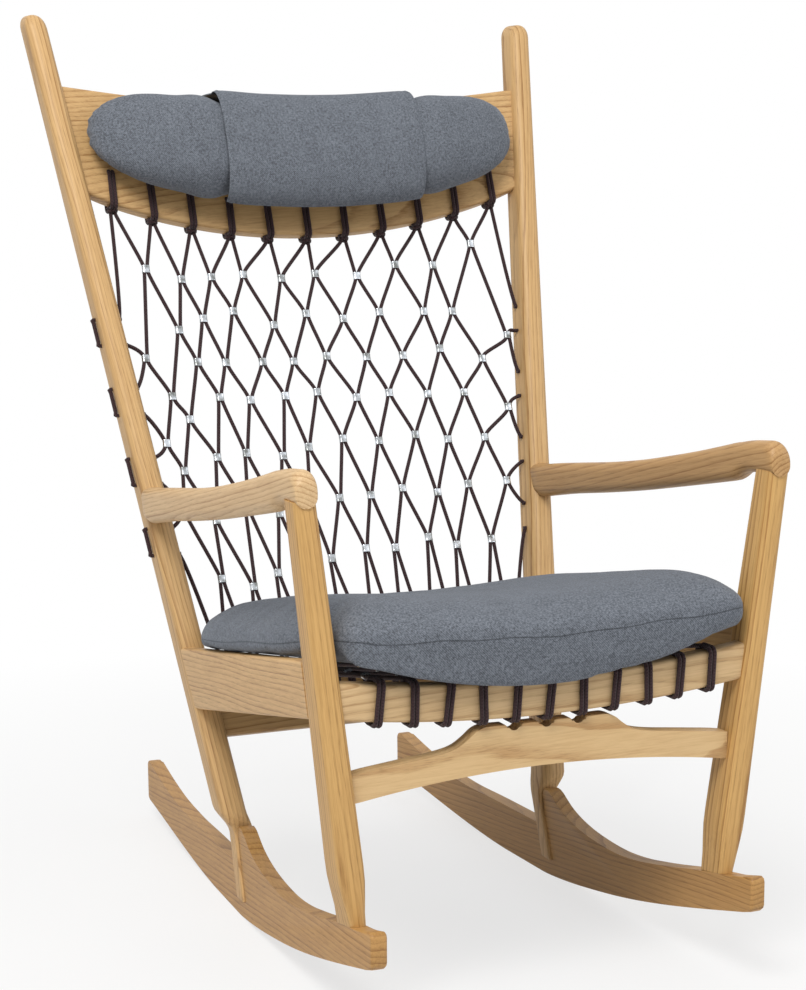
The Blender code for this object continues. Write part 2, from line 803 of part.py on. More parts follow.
def arm_dowel_ends(side):
    """Level, from inside the post forward into the arm's rear end."""
    _, under, top = ARM_LINE[0]
    height = (under + top) / 2
    face = post_front(height)
    places = (face - ARM_DOWEL_LENGTH / 2, face + ARM_DOWEL_LENGTH / 2)
    return [at(side * post_x(height), reach, height) for reach in places]


# Cord work


def net_point(x, z):
    """A point of the back net, which hangs in the plane of the posts and follows the top rail's curve."""
    share = smooth((z - REAR_RAIL_CENTRE) / (TOP_RAIL_BOTTOM_MIDDLE - REAR_RAIL_CENTRE))
    depth = TOP_RAIL_SAG * share * max(0.0, 1 - (x / post_inner(z)) ** 2)
    return at(x, post_reach(z) - depth, z)


def row_point(row, place):
    """place counts columns from the middle: halves on even rows, whole numbers on odd ones."""
    share = 2 * place / COLUMNS
    height = mix(NET_ROWS_MIDDLE[row], NET_ROWS_SIDE[row], share**2)
    z = mix(REAR_RAIL_CENTRE, TOP_RAIL_BOTTOM_MIDDLE, height)
    return net_point(0.9 * share * post_inner(z), z)


def side_levels():
    """Heights of the stitches through the posts, from the top: the arm's rear end keeps clear of them."""
    _, under, top = ARM_LINE[0]
    over = top + STITCH_OVER_ARM
    levels = [mix(over, TOP_RAIL_BOTTOM_MIDDLE, share) for share in SIDE_LEVELS_OVER_ARM]
    return levels + [over, under - STITCH_UNDER_ARM]


def stitch_points(side, level):
    """Into the post at the upper hole, down its outer face and back through the lower hole."""
    points = []
    for height, outer in ((0.5, False), (0.5, True), (-0.5, True), (-0.5, False)):
        z = level + height * STITCH
        offset = post_size(z)[0] / 2 + CORD / 2 + CORD_CLEARANCE
        x = post_x(z) + offset if outer else post_x(z) - offset - 0.004
        points.append(at(side * x, post_reach(z), z))
    return points


def top_loop_x(column):
    return 2 * column / COLUMNS * (post_inner(TOP_RAIL_BOTTOM_END) - TOP_LOOP_MARGIN)


def top_loop_slack(x):
    """The rail's lower edge rises towards its ends, so a wide loop needs this much more room there."""
    steepness = 2 * (TOP_RAIL_BOTTOM_END - TOP_RAIL_BOTTOM_MIDDLE) / post_x(HEAD_CENTRE)
    return LOOP_WIDTH / 2 * steepness * abs(x) / post_x(HEAD_CENTRE)


def rear_loop_x(column):
    return 2 * column / COLUMNS * (post_inner(REAR_RAIL_CENTRE) - REAR_LOOP_MARGIN)


def front_loop_x(column):
    return 2 * column / COLUMNS * (leg_x(FRONT_RAIL_END) - FRONT_LOOP_MARGIN)


class CordGraph:
    """Square-sectioned cords that part and meet again at clips, as one closed surface.

    A clip is a short block whose upper and lower ends each hold two cord ends side by side."""

    def __init__(self):
        self.form = bmesh.new()

    def block(self, centre, run, across, depth, cords):
        """Two rings of points for a clip that holds this many cords, and the faces of its sides."""
        rings = []
        for end in (-1, 1):
            middle = centre + run * (end * FERRULE_LENGTH / 2)
            lines = []
            for i in range(cords + 1):
                place = middle + across * (FERRULE_WIDTH / 2) * (i - cords / 2)
                faces = (place - depth * (FERRULE_DEPTH / 2), place + depth * (FERRULE_DEPTH / 2))
                lines.append([self.form.verts.new(face) for face in faces])
            rings.append(lines)
        loops = []
        for lines in rings:
            loops.append([line[0] for line in lines] + [line[1] for line in reversed(lines)])
        count = len(loops[0])
        for i in range(count):
            j = (i + 1) % count
            self.form.faces.new((loops[0][i], loops[0][j], loops[1][j], loops[1][i]))
        starts = [self.port(rings[0], i) for i in range(cords)]
        ends = [self.port(rings[1], i) for i in range(cords)]
        return starts, ends

    @staticmethod
    def port(lines, i):
        return [lines[i][0], lines[i + 1][0], lines[i + 1][1], lines[i][1]]

    def bend(self, centre, across, depth):
        corners = ((-1, -1), (1, -1), (1, 1), (-1, 1))
        half = CORD / 2
        return [self.form.verts.new(centre + across * (u * half) + depth * (v * half)) for u, v in corners]

    def run(self, *ports):
        for a, b in zip(ports, ports[1:]):
            for i in range(4):
                j = (i + 1) % 4
                self.form.faces.new((a[i], a[j], b[j], b[i]))

    def cap(self, port):
        self.form.faces.new(port)


def band_loop(form, centre, across, along, thickness, height, slack=0.0, steps=0):
    """A flat cord band wound once round a rail section, clear of the rail all round."""
    half = CORD * 0.42
    lift = band_lift(slack)
    radius = LOOP_CORNER if steps else 0.0001
    middle = rounded_rectangle(thickness + 2 * lift, height + 2 * lift, radius, steps=steps or 1)
    if not steps:
        middle = middle[::2]
    side = Vector((LOOP_WIDTH / 2, 0, 0))
    inner = []
    for u, v in middle:
        point = centre + across * u + along * v
        inner.append((point, across * math.copysign(1, u) * half + along * math.copysign(1, v) * half))
    rings = []
    for point, outward in inner:
        near, far = point - outward, point + outward
        rings.append([near - side, near + side, far + side, far - side])
    loft_into(form, rings, closed=True)


def loop_hole(form, centre, across, along, slack=0.0):
    """A flat hole through a rail, wide and high enough for one cord band."""
    width = LOOP_WIDTH + 2 * LOOP_HOLE_RELIEF
    height = CORD * 0.84 + 2 * (LOOP_HOLE_RELIEF + slack)
    points = rounded_rectangle(width, height, 0.0005, steps=1)
    reach = across * (TOP_RAIL_THICKNESS + CORD)
    rings = [ring(centre + reach * end, Vector((1, 0, 0)), along, points) for end in (-1, 1)]
    loft_into(form, rings)


def band_lift(slack=0.0):
    return CORD_CLEARANCE + CORD * 0.42 + slack


def short_loop(bands, holes, edge, across, along, thickness, height, slack=0.0):
    """A band round one edge of a rail and through a hole; along points from that edge into the rail."""
    band_loop(bands, edge + along * (height / 2), across, along, thickness, height, slack)
    loop_hole(holes, edge + along * (height + band_lift(slack)), across, along, slack)


def make_back_net(cord, group, cutters, top_rail, rear_rail):
    lean = Vector((0, POST_LEAN, 1)).normalized()
    down = -lean
    across = Vector((1, 0, 0))
    depth = Vector((0, 1, -POST_LEAN)).normalized()
    half = COLUMNS // 2
    graph = CordGraph()
    blocks = {}
    for row in range(len(NET_ROWS_MIDDLE)):
        count = COLUMNS if row % 2 == 0 else COLUMNS - 1
        for i in range(count):
            place = i - (count - 1) / 2
            blocks[row, place] = graph.block(row_point(row, place), down, across, depth, 2)
    last = len(NET_ROWS_MIDDLE) - 1
    for column in range(-half, half + 1):
        side = 1 if column > 0 else -1
        edge = abs(column) == half
        x = top_loop_x(column)
        bottom = top_rail_span(x)[0] - CORD_CLEARANCE - CORD * 0.5
        drop = FERRULE_LENGTH / 2 - 0.001 + top_loop_slack(x)
        knot = at(x, post_reach(bottom), bottom) + depth * top_rail_sag(x) + down * drop
        top, out = graph.block(knot, down, across, depth, 2)
        for port in top:
            graph.cap(port)
        end_z = REAR_RAIL_CENTRE + REAR_RAIL_HEIGHT / 2 / LEAN_LENGTH
        foot = at(rear_loop_x(column), post_reach(end_z), end_z)
        foot += lean * (FERRULE_LENGTH / 2 + CORD_CLEARANCE)
        goal, bottom_ports = graph.block(foot, down, across, depth, 1 if edge else 2)
        for port in bottom_ports:
            graph.cap(port)
        for direction in (-1, 1):
            index = 0 if direction < 0 else 1
            if edge and direction * column > 0:
                finish_point = stitch_points(side, side_levels()[0])[0] + lean * CORD
                end = graph.bend(finish_point, across, depth)
                graph.run(out[index], end)
                graph.cap(end)
                continue
            port = out[index]
            for row in range(last + 1):
                if row % 2 == 0:
                    into, onward = blocks[row, column + direction / 2]
                    graph.run(port, into[1 - index])
                    port = onward[1 - index]
                elif edge:
                    port = run_stitch(graph, port, side, side_levels()[row // 2])
                else:
                    into, onward = blocks[row, column]
                    graph.run(port, into[index])
                    port = onward[index]
            if edge:
                port = run_stitch(graph, port, side, side_levels()[-1])
            graph.run(port, goal[0 if edge else index])
    net = add_object("back_net", mesh_from("back_net", graph.form), cord, group)
    extras = bmesh.new()
    top_holes = bmesh.new()
    rear_holes = bmesh.new()
    for column in range(-half, half + 1):
        x = top_loop_x(column)
        bottom = top_rail_span(x)[0]
        edge = at(x, post_reach(bottom), bottom) + depth * top_rail_sag(x)
        size = (TOP_RAIL_THICKNESS, TOP_LOOP_HEIGHT, top_loop_slack(x))
        short_loop(extras, top_holes, edge, depth, lean, *size)
        edge = rear_rail_edge(rear_loop_x(column))
        short_loop(extras, rear_holes, edge, depth, down, REAR_RAIL_THICKNESS, REAR_LOOP_HEIGHT)
    loops = add_object("back_net_loops", mesh_from("back_net_loops", extras), None, cutters)
    join_all(net, as_cutter(loops))
    for rail, holes in ((top_rail, top_holes), (rear_rail, rear_holes)):
        label = rail.name + "_holes"
        cut(rail, as_cutter(add_object(label, mesh_from(label, holes), None, cutters)))
    return net


def run_stitch(graph, port, side, level):
    """Takes a cord end through a post, down its outer face and back, and returns the new end."""
    outward = Vector((1, 0, 0))
    up = Vector((0, 0, side))
    mitres = (up, outward + up, outward - up, -up)
    deep = Vector((0, CORD / 2, 0))
    ports = []
    for point, mitre in zip(stitch_points(side, level), mitres):
        wide = mitre * (CORD / 2)
        corners = (-wide - deep, wide - deep, wide + deep, -wide + deep)
        ports.append([graph.form.verts.new(point + corner) for corner in corners])
    graph.run(port, *ports)
    return ports[-1]


def join_all(thing, other):
    modifier = thing.modifiers.new("join_" + other.name, "BOOLEAN")
    modifier.operation = "UNION"
    modifier.object = other


def rear_rail_edge(x):
    """The middle of the rear rail's upper edge at x."""
    rise = Vector((0, POST_LEAN, 1)).normalized() * (REAR_RAIL_HEIGHT / 2)
    return at(x, post_reach(REAR_RAIL_CENTRE), REAR_RAIL_CENTRE) + rise


def deck_height(x, reach):
    front = front_rail_centre(x) + FRONT_RAIL_HEIGHT / 2
    rear = REAR_RAIL_CENTRE + REAR_RAIL_HEIGHT / 2
    share = reach / front_rail_reach()
    return mix(rear, front, share) + DECK_LIFT


def deck_point(row, place):
    reach = DECK_ROWS[row]
    share = reach / front_rail_reach()
    width = mix(rear_loop_x(COLUMNS / 2), front_loop_x(COLUMNS / 2), share)
    x = 2 * place / COLUMNS * width
    return at(x, reach, deck_height(x, reach))


def make_seat_deck(cord, group, cutters, rear_rail):
    half = COLUMNS // 2
    back = Vector((0, 1, 0))
    across = Vector((1, 0, 0))
    up = Vector((0, 0, 1))
    graph = CordGraph()
    blocks = {}
    for row in range(len(DECK_ROWS)):
        count = COLUMNS if row % 2 == 0 else COLUMNS - 1
        for i in range(count):
            place = i - (count - 1) / 2
            blocks[row, place] = graph.block(deck_point(row, place), back, across, up, 2)
    rear_z = REAR_RAIL_CENTRE + REAR_RAIL_HEIGHT / 2 + CORD * 0.45
    feet = {}
    for i in range(COLUMNS):
        place = i - (COLUMNS - 1) / 2
        foot = at(rear_loop_x(place), post_reach(rear_z), rear_z)
        goal, rear = graph.block(foot, back, across, up, 2)
        feet[place] = goal
        for port in rear:
            graph.cap(port)
    for column in range(-half, half + 1):
        edge = abs(column) == half
        x = front_loop_x(column)
        front_z = front_rail_centre(x) + FRONT_RAIL_HEIGHT / 2 + CORD_CLEARANCE + CORD / 2
        start = at(x, front_rail_reach() - FERRULE_LENGTH / 2, front_z)
        front, out = graph.block(start, back, across, up, 1 if edge else 2)
        for port in front:
            graph.cap(port)
        for direction in (-1, 1):
            if edge and direction * column > 0:
                continue
            index = 0 if direction < 0 else 1
            port = out[0 if edge else index]
            for row in range(len(DECK_ROWS)):
                if row % 2 == 0:
                    into, onward = blocks[row, column + direction / 2]
                    graph.run(port, into[1 - index])
                    port = onward[1 - index]
                elif edge:
                    turn = graph.bend(deck_point(row, column * 0.93), across, up)
                    graph.run(port, turn)
                    port = turn
                else:
                    into, onward = blocks[row, column]
                    graph.run(port, into[index])
                    port = onward[index]
            graph.run(port, feet[column + direction / 2][1 - index])
    deck = add_object("seat_deck", mesh_from("seat_deck", graph.form), cord, group)
    extras = bmesh.new()
    for column in range(-half, half + 1):
        x = front_loop_x(column)
        centre = at(x, front_rail_reach(), front_rail_centre(x))
        slack = LOOP_WIDTH / 2 * 0.15 * abs(x) / leg_x(FRONT_RAIL_END)
        size = (FRONT_RAIL_THICKNESS, FRONT_RAIL_HEIGHT, slack)
        band_loop(extras, centre, Vector((0, 1, 0)), up, *size, steps=1)
    holes = bmesh.new()
    leaning_across = Vector((0, 1, -POST_LEAN)).normalized()
    leaning_down = -Vector((0, POST_LEAN, 1)).normalized()
    for place in feet:
        edge = rear_rail_edge(rear_loop_x(place))
        size = (REAR_RAIL_THICKNESS, REAR_LOOP_HEIGHT)
        short_loop(extras, holes, edge, leaning_across, leaning_down, *size)
    loops = add_object("seat_deck_loops", mesh_from("seat_deck_loops", extras), None, cutters)
    join_all(deck, as_cutter(loops))
    label = rear_rail.name + "_deck_holes"
    cut(rear_rail, as_cutter(add_object(label, mesh_from(label, holes), None, cutters)))
    return deck


def lace_holes(post, side, cutters):
    for index, level in enumerate(side_levels()):
        for share in (0.5, -0.5):
            z = level + share * STITCH
            middle = at(side * post_x(z), post_reach(z), z)
            label = f"{post.name}_lace_{index}_{'upper' if share > 0 else 'lower'}"
            hole = box(label, middle, (0.08, CORD + 2 * CORD_CLEARANCE, CORD + 2 * CORD_CLEARANCE), cutters)
            cut(post, as_cutter(hole))


# Soft parts


def seat_under(x, reach):
    middle = deck_height(0, reach) + CORD / 2 + REST_GAP
    side = SIDE_RAIL_TOP + SIDE_RAIL_TOP_RISE * reach + REST_GAP
    rear, rear_outer, front, front_outer = side_rail_ends()
    inner = mix(rear_outer, front_outer, (reach - rear) / (front - rear)) - SIDE_RAIL_THICKNESS
    return mix(middle, max(side, middle), min(1.0, abs(x) / inner) ** 2)


def seat_outline(angle):
    """Plan of the seat cushion: x and reach round its seam."""
    power = 2 / SEAT_SQUARENESS
    c, s = math.cos(angle), math.sin(angle)
    u = math.copysign(abs(c) ** power, c)
    v = math.copysign(abs(s) ** power, s)
    reach = mix(SEAT_REAR, SEAT_FRONT, (v + 1) / 2)
    waist = smooth((reach - 0.36) / 0.08)
    half_width = mix(SEAT_HALF_WIDTH, SEAT_FRONT_HALF_WIDTH, waist)
    half_width *= mix(0.90, 1.0, smooth((reach - SEAT_REAR) / 0.12))
    return u * half_width, reach


def make_seat_cushion(cloth, group):
    form = bmesh.new()
    bmesh.ops.create_uvsphere(form, u_segments=40, v_segments=12, radius=1.0)
    centre_reach = (SEAT_FRONT + SEAT_REAR) / 2
    for vertex in form.verts:
        lift = vertex.co.z
        spread = math.hypot(vertex.co.x, vertex.co.y)
        angle = math.atan2(vertex.co.y, vertex.co.x)
        edge_x, edge_reach = seat_outline(angle)
        plan = min(1.0, spread) ** (0.52 if lift > 0 else 0.45)
        x = edge_x * plan
        reach = centre_reach + (edge_reach - centre_reach) * plan
        under = seat_under(x, reach)
        edge_under = seat_under(edge_x, edge_reach)
        middle_share = 1 - min(1.0, abs(edge_x) / SEAT_HALF_WIDTH) ** 2
        seam_rim = edge_under + mix(0.014, SEAT_LOWER_DEPTH * 0.9, middle_share)
        if lift >= 0:
            seam_here = mix(under + SEAT_LOWER_DEPTH, seam_rim, plan**3)
            z = seam_here + SEAT_CROWN * lift**0.62
        else:
            z = mix(seam_rim, under, min(1.0, -lift) ** 0.5)
        vertex.co = at(x, reach, z)
    return add_object("seat_cushion", mesh_from("seat_cushion", form), cloth, group)


def head_fill(x):
    return max(0.0, 1 - (abs(x) / HEAD_HALF_LENGTH) ** 5) ** 0.5


def head_frame(x):
    """Centre of the head cushion at x, with the directions out from the rail and up the back."""
    outward = Vector((0, -1, POST_LEAN)).normalized()
    upward = Vector((0, POST_LEAN, 1)).normalized()
    z = HEAD_CENTRE + 0.30 * x * x
    stand_off = TOP_RAIL_THICKNESS / 2 + CORD + CORD_CLEARANCE + 2 * REST_GAP
    centre = at(x, post_reach(z), z) - outward * top_rail_sag(x)
    return centre, outward, upward, stand_off


def make_head_cushion(cloth, group):
    form = bmesh.new()
    bmesh.ops.create_uvsphere(form, u_segments=20, v_segments=18, radius=1.0)
    for vertex in form.verts:
        x = HEAD_HALF_LENGTH * vertex.co.z
        angle = math.atan2(vertex.co.y, vertex.co.x)
        fill = head_fill(x)
        centre, outward, upward, stand_off = head_frame(x)
        depth = HEAD_THICKNESS * fill
        tall = HEAD_HEIGHT / 2 * fill
        front = depth * (0.5 + 0.5 * math.copysign(abs(math.cos(angle)) ** 0.8, math.cos(angle)))
        up = tall * math.copysign(abs(math.sin(angle)) ** 0.9, math.sin(angle))
        vertex.co = centre + outward * (stand_off + front) + upward * up
    return add_object("head_cushion", mesh_from("head_cushion", form), cloth, group)


def saddle_path(x):
    """The saddle's inner side at x, from low on the cushion's front to low behind the rail."""
    fill = head_fill(x)
    centre, outward, upward, stand_off = head_frame(x)
    points = []
    for degrees in (-75, -50, -25, 0, 25, 50, 72, 88):
        angle = math.radians(degrees)
        front = HEAD_THICKNESS * fill * (0.5 + 0.5 * math.cos(angle) ** 0.8)
        up = HEAD_HEIGHT / 2 * fill * math.copysign(abs(math.sin(angle)) ** 0.9, math.sin(angle))
        away = (outward * math.cos(angle) + upward * math.sin(angle)) * SADDLE_STAND_OFF
        points.append(centre + outward * (stand_off + front) + upward * up + away)
    bottom, top = top_rail_span(x)
    rail_top = at(x, post_reach(top), top) - outward * top_rail_sag(x)
    clear = TOP_RAIL_THICKNESS / 2 + SADDLE_CLEARANCE
    lift = SADDLE_CLEARANCE
    crest = max(lift, (points[-1] - rail_top).dot(upward) - 0.004)
    points.append(rail_top + outward * clear * 0.6 + upward * (crest + 0.003))
    points.append(rail_top - outward * clear * 0.8 + upward * (lift + 0.003))
    points.append(rail_top - outward * (clear + 0.001) + upward * 0.003)
    points.append(rail_top - outward * (clear + 0.001) - upward * 0.040)
    return points


def make_saddle(cloth, group):
    rings = []
    for i in range(9):
        x = mix(-SADDLE_HALF_WIDTH, SADDLE_HALF_WIDTH, i / 8)
        inner = saddle_path(x)
        outer = []
        for j, point in enumerate(inner):
            before = inner[max(0, j - 1)]
            after = inner[min(len(inner) - 1, j + 1)]
            run = (after - before).normalized()
            away = run.cross(Vector((1, 0, 0))).normalized()
            outer.append(point - away * SADDLE_THICKNESS)
        rings.append(inner + list(reversed(outer)))
    return loft("head_cushion_saddle", rings, cloth, group)


def make_counterweight(cloth, group):
    rings = []
    for i in range(9):
        x = mix(-SADDLE_HALF_WIDTH, SADDLE_HALF_WIDTH, i / 8)
        _, outward, upward, _ = head_frame(x)
        tail = saddle_path(x)[-1]
        centre = tail - upward * (GAP + COUNTERWEIGHT_HEIGHT / 2)
        centre -= outward * (COUNTERWEIGHT_THICKNESS / 2 - GAP)
        points = rounded_rectangle(COUNTERWEIGHT_THICKNESS, COUNTERWEIGHT_HEIGHT, 0.003)
        rings.append(ring(centre, -outward, upward, points))
    return loft("head_counterweight", rings, cloth, group)


def centre_on_footprint(group, *others):
    """Moves everything so that the middle of the whole chair's box stands over the origin."""
    bpy.context.view_layer.update()
    graph = bpy.context.evaluated_depsgraph_get()
    ys = []
    for thing in group.objects:
        mesh = thing.evaluated_get(graph).to_mesh()
        ys += [(thing.matrix_world @ vertex.co).y for vertex in mesh.vertices]
        thing.evaluated_get(graph).to_mesh_clear()
    shift = -(min(ys) + max(ys)) / 2
    for thing in list(group.objects) + [t for other in others for t in other.objects]:
        thing.location.y += shift
    bpy.context.view_layer.update()
    print("origin lies", round(shift, 5), "m from the floor contact line")


def main():
    clear_scene()
    group = new_collection("rocking_lounge_chair")
    cutters = new_collection("cutters")
    ash = finish("ash", ASH, 0.45)
    pale = finish("pale_ash", PALE_ASH, 0.45)
    beech = finish("beech", BEECH, 0.5)
    cord = finish("cord", CORD_COLOUR, 0.85)
    cloth = finish("cloth", CLOTH_COLOUR, 0.9)
    front_rail = front_rail_stations()
    rear_rail = rear_rail_stations()
    top_rail = top_rail_stations()
    rail_with_tenons("front_seat_rail", front_rail, pale, group)
    rear_board = rail_with_tenons("rear_seat_rail", rear_rail, ash, group)
    top_board = rail_with_tenons("top_rail", top_rail, ash, group)
    make_stretcher(pale, group)
    for label, side in SIDES.items():
        end = 1 if side > 0 else 0
        outward = Vector((side, 0, 0))
        side_rail = side_rail_stations(side)
        rocker = make_rocker("rocker_" + label, side, ash, group)
        post = make_post("back_post_" + label, side, ash, group, cutters)
        leg = make_leg("front_leg_" + label, side, ash, group)
        rail_with_tenons("seat_side_rail_" + label, side_rail, ash, group)
        arm = make_arm("arm_" + label, side, ash, group, cutters)
        mortise(post, *rail_ends(rear_rail)[end], cutters, f"rear_mortise_{label}")
        mortise(post, *rail_ends(top_rail)[end], cutters, f"top_mortise_{label}")
        mortise(post, *rail_ends(side_rail)[0], cutters, f"side_rear_mortise_{label}")
        mortise(leg, *rail_ends(side_rail)[1], cutters, f"side_front_mortise_{label}")
        mortise(leg, *rail_ends(front_rail)[end], cutters, f"front_mortise_{label}")
        housing = "stretcher_housing_" + label
        mortise(leg, stretcher_station(side), outward, cutters, housing, share=1, corner=0.001)
        lace_holes(post, side, cutters)
        foot = foot_dowel_ends(side)
        dowel("foot_dowel_" + label, *foot, (leg, rocker), beech, group, cutters)
        dowel("arm_dowel_" + label, *arm_dowel_ends(side), (arm, post), beech, group, cutters)
    make_back_net(cord, group, cutters, top_board, rear_board)
    make_seat_deck(cord, group, cutters, rear_board)
    make_seat_cushion(cloth, group)
    make_head_cushion(cloth, group)
    make_saddle(cloth, group)
    make_counterweight(cloth, group)
    centre_on_footprint(group, cutters)


main()
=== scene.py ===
"""Looks of the rocking lounge chair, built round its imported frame.

Metres, +Z up. The chair faces -Y and its left side is +X. Forward places are given as
"reach": metres in front of the line on which the rockers touch the floor."""

import math
import random

import bmesh
import bpy
from mathutils import Matrix, Vector, noise


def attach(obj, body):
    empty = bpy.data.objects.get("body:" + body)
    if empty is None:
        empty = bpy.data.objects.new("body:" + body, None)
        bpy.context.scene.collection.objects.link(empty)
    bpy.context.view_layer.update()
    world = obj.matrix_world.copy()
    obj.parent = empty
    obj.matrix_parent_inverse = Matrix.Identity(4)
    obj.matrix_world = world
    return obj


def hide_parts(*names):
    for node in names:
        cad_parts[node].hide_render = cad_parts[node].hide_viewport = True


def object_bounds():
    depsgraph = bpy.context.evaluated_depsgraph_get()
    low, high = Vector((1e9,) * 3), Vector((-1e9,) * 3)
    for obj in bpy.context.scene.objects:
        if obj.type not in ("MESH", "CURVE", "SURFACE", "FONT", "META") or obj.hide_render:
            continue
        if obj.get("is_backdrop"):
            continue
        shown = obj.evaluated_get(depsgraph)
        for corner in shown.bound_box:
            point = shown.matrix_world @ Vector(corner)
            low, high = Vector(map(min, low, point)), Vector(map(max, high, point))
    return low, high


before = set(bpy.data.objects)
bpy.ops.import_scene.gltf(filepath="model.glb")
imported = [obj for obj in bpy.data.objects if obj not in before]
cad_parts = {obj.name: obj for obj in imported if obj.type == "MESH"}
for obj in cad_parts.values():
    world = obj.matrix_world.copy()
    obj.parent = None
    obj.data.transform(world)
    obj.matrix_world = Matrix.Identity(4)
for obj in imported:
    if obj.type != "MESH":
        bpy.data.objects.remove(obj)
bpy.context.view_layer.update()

FLOOR_LINE = 0.08547
CORD_RADIUS = 0.0025
CORD_SPREAD = 0.0025
CLIP_SPREAD = 0.0024
KNOT_SPREAD = 0.0026
GAP = 0.0003

# Sizes and lines of the frame
POST_HALF_SPREAD = 0.1982
POST_SPLAY = 0.1316
POST_FLOOR_REACH = 0.0931
POST_LEAN = 0.3836
LEG_HALF_SPREAD = 0.2052
LEG_SPLAY = 0.1225
LEG_FLOOR_REACH = 0.4541
LEG_LEAN = 0.0198
LEAN_LENGTH = math.hypot(1, POST_LEAN)
POST_TOP = 1.080
POST_FOOT = 0.021
POST_NECK = 0.095
POST_SHOULDER = 0.125
POST_TIP = 0.018
POST_CORNER = 0.0115
ROCKER_HALF_SPREAD = 0.2010
ROCKER_TOE = 0.038
ROCKER_THICKNESS = 0.018
LEG_LOW = 0.1114
LEG_WAIST = 0.175
ARM_SEAT = 0.5555
HEAD_CENTRE = 0.905
RAIL_THICKNESS = 0.022
REAR_RAIL_CENTRE = 0.243
REAR_RAIL_HEIGHT = 0.082
FRONT_RAIL_REACH = 0.46453
FRONT_RAIL_CENTRE = 0.355
FRONT_RAIL_SAG = 0.018
FRONT_RAIL_HEIGHT = 0.040
TOP_RAIL_BOTTOM = 0.808
TOP_RAIL_BOTTOM_RISE = 0.051
TOP_RAIL_SAG = 0.030
TOP_LOOP_HEIGHT = 0.040
REAR_LOOP_HEIGHT = 0.034
STITCH_LEVELS = (0.686, 0.602, 0.5185, 0.435)
STITCH_HALF = 0.0155
UPWARD = Vector((0, POST_LEAN, 1)).normalized()
OUTWARD = Vector((0, -1, POST_LEAN)).normalized()
ACROSS = Vector((1, 0, 0))
BEHIND = Vector((0, 1, 0))
ABOVE = Vector((0, 0, 1))


def at(x, reach, z):
    return Vector((x, FLOOR_LINE - reach, z))


def mix(a, b, share):
    return a + (b - a) * share


def smooth(share):
    share = min(1.0, max(0.0, share))
    return share * share * (3 - 2 * share)


def rocker_x(reach):
    return ROCKER_HALF_SPREAD + ROCKER_TOE * reach


def tongue_share(z):
    """1 where the post has narrowed to the tongue that straddles the rocker."""
    return smooth((POST_SHOULDER - z) / (POST_SHOULDER - POST_NECK))


def post_reach(z):
    return POST_FLOOR_REACH - POST_LEAN * z


def post_x(z):
    return mix(POST_HALF_SPREAD + POST_SPLAY * z, rocker_x(post_reach(z)), tongue_share(z))


def post_size(z):
    share = (z - POST_SHOULDER) / (POST_TOP - POST_SHOULDER)
    width, depth = mix(0.032, 0.028, share), mix(0.049, 0.045, share)
    return mix(width, 0.024, tongue_share(z)), mix(depth, 0.0245, tongue_share(z))


def post_front(z):
    return post_reach(z) + post_size(z)[1] / 2


def post_inner(z):
    return post_x(z) - post_size(z)[0] / 2


def leg_x(z):
    return LEG_HALF_SPREAD + LEG_SPLAY * z


def leg_reach(z):
    return LEG_FLOOR_REACH + LEG_LEAN * z


def leg_size(z):
    share = (z - LEG_LOW) / (ARM_SEAT - LEG_LOW)
    width, depth = mix(0.031, 0.025, share), mix(0.048, 0.036, share)
    if z < LEG_WAIST:
        narrowed = 1 - smooth((z - LEG_LOW) / (LEG_WAIST - LEG_LOW))
        width = mix(width, ROCKER_THICKNESS + 0.0002, narrowed)
    return width, depth


def leg_inner(z):
    return leg_x(z) - leg_size(z)[0] / 2


def top_rail_sag(x):
    return TOP_RAIL_SAG * (1 - (x / post_x(HEAD_CENTRE)) ** 2)


def top_rail_span(x):
    share = (x / post_x(HEAD_CENTRE)) ** 2
    return mix(TOP_RAIL_BOTTOM, 0.859, share), mix(0.976, 0.990, share)


def on_top_rail(x, z):
    """The middle of the top rail's thickness at x and height z."""
    return at(x, post_reach(z), z) - OUTWARD * top_rail_sag(x)


def front_rail_centre(x):
    return FRONT_RAIL_CENTRE - FRONT_RAIL_SAG * (1 - (x / leg_x(FRONT_RAIL_CENTRE)) ** 2)


def net_depth(x, z):
    """How far the back net hangs behind the plane of the posts."""
    share = smooth((z - REAR_RAIL_CENTRE) / (TOP_RAIL_BOTTOM - REAR_RAIL_CENTRE))
    return TOP_RAIL_SAG * share * max(0.0, 1 - (x / post_inner(z)) ** 2)


def net_y(x, z):
    return FLOOR_LINE - post_reach(z) + net_depth(x, z)


# Materials


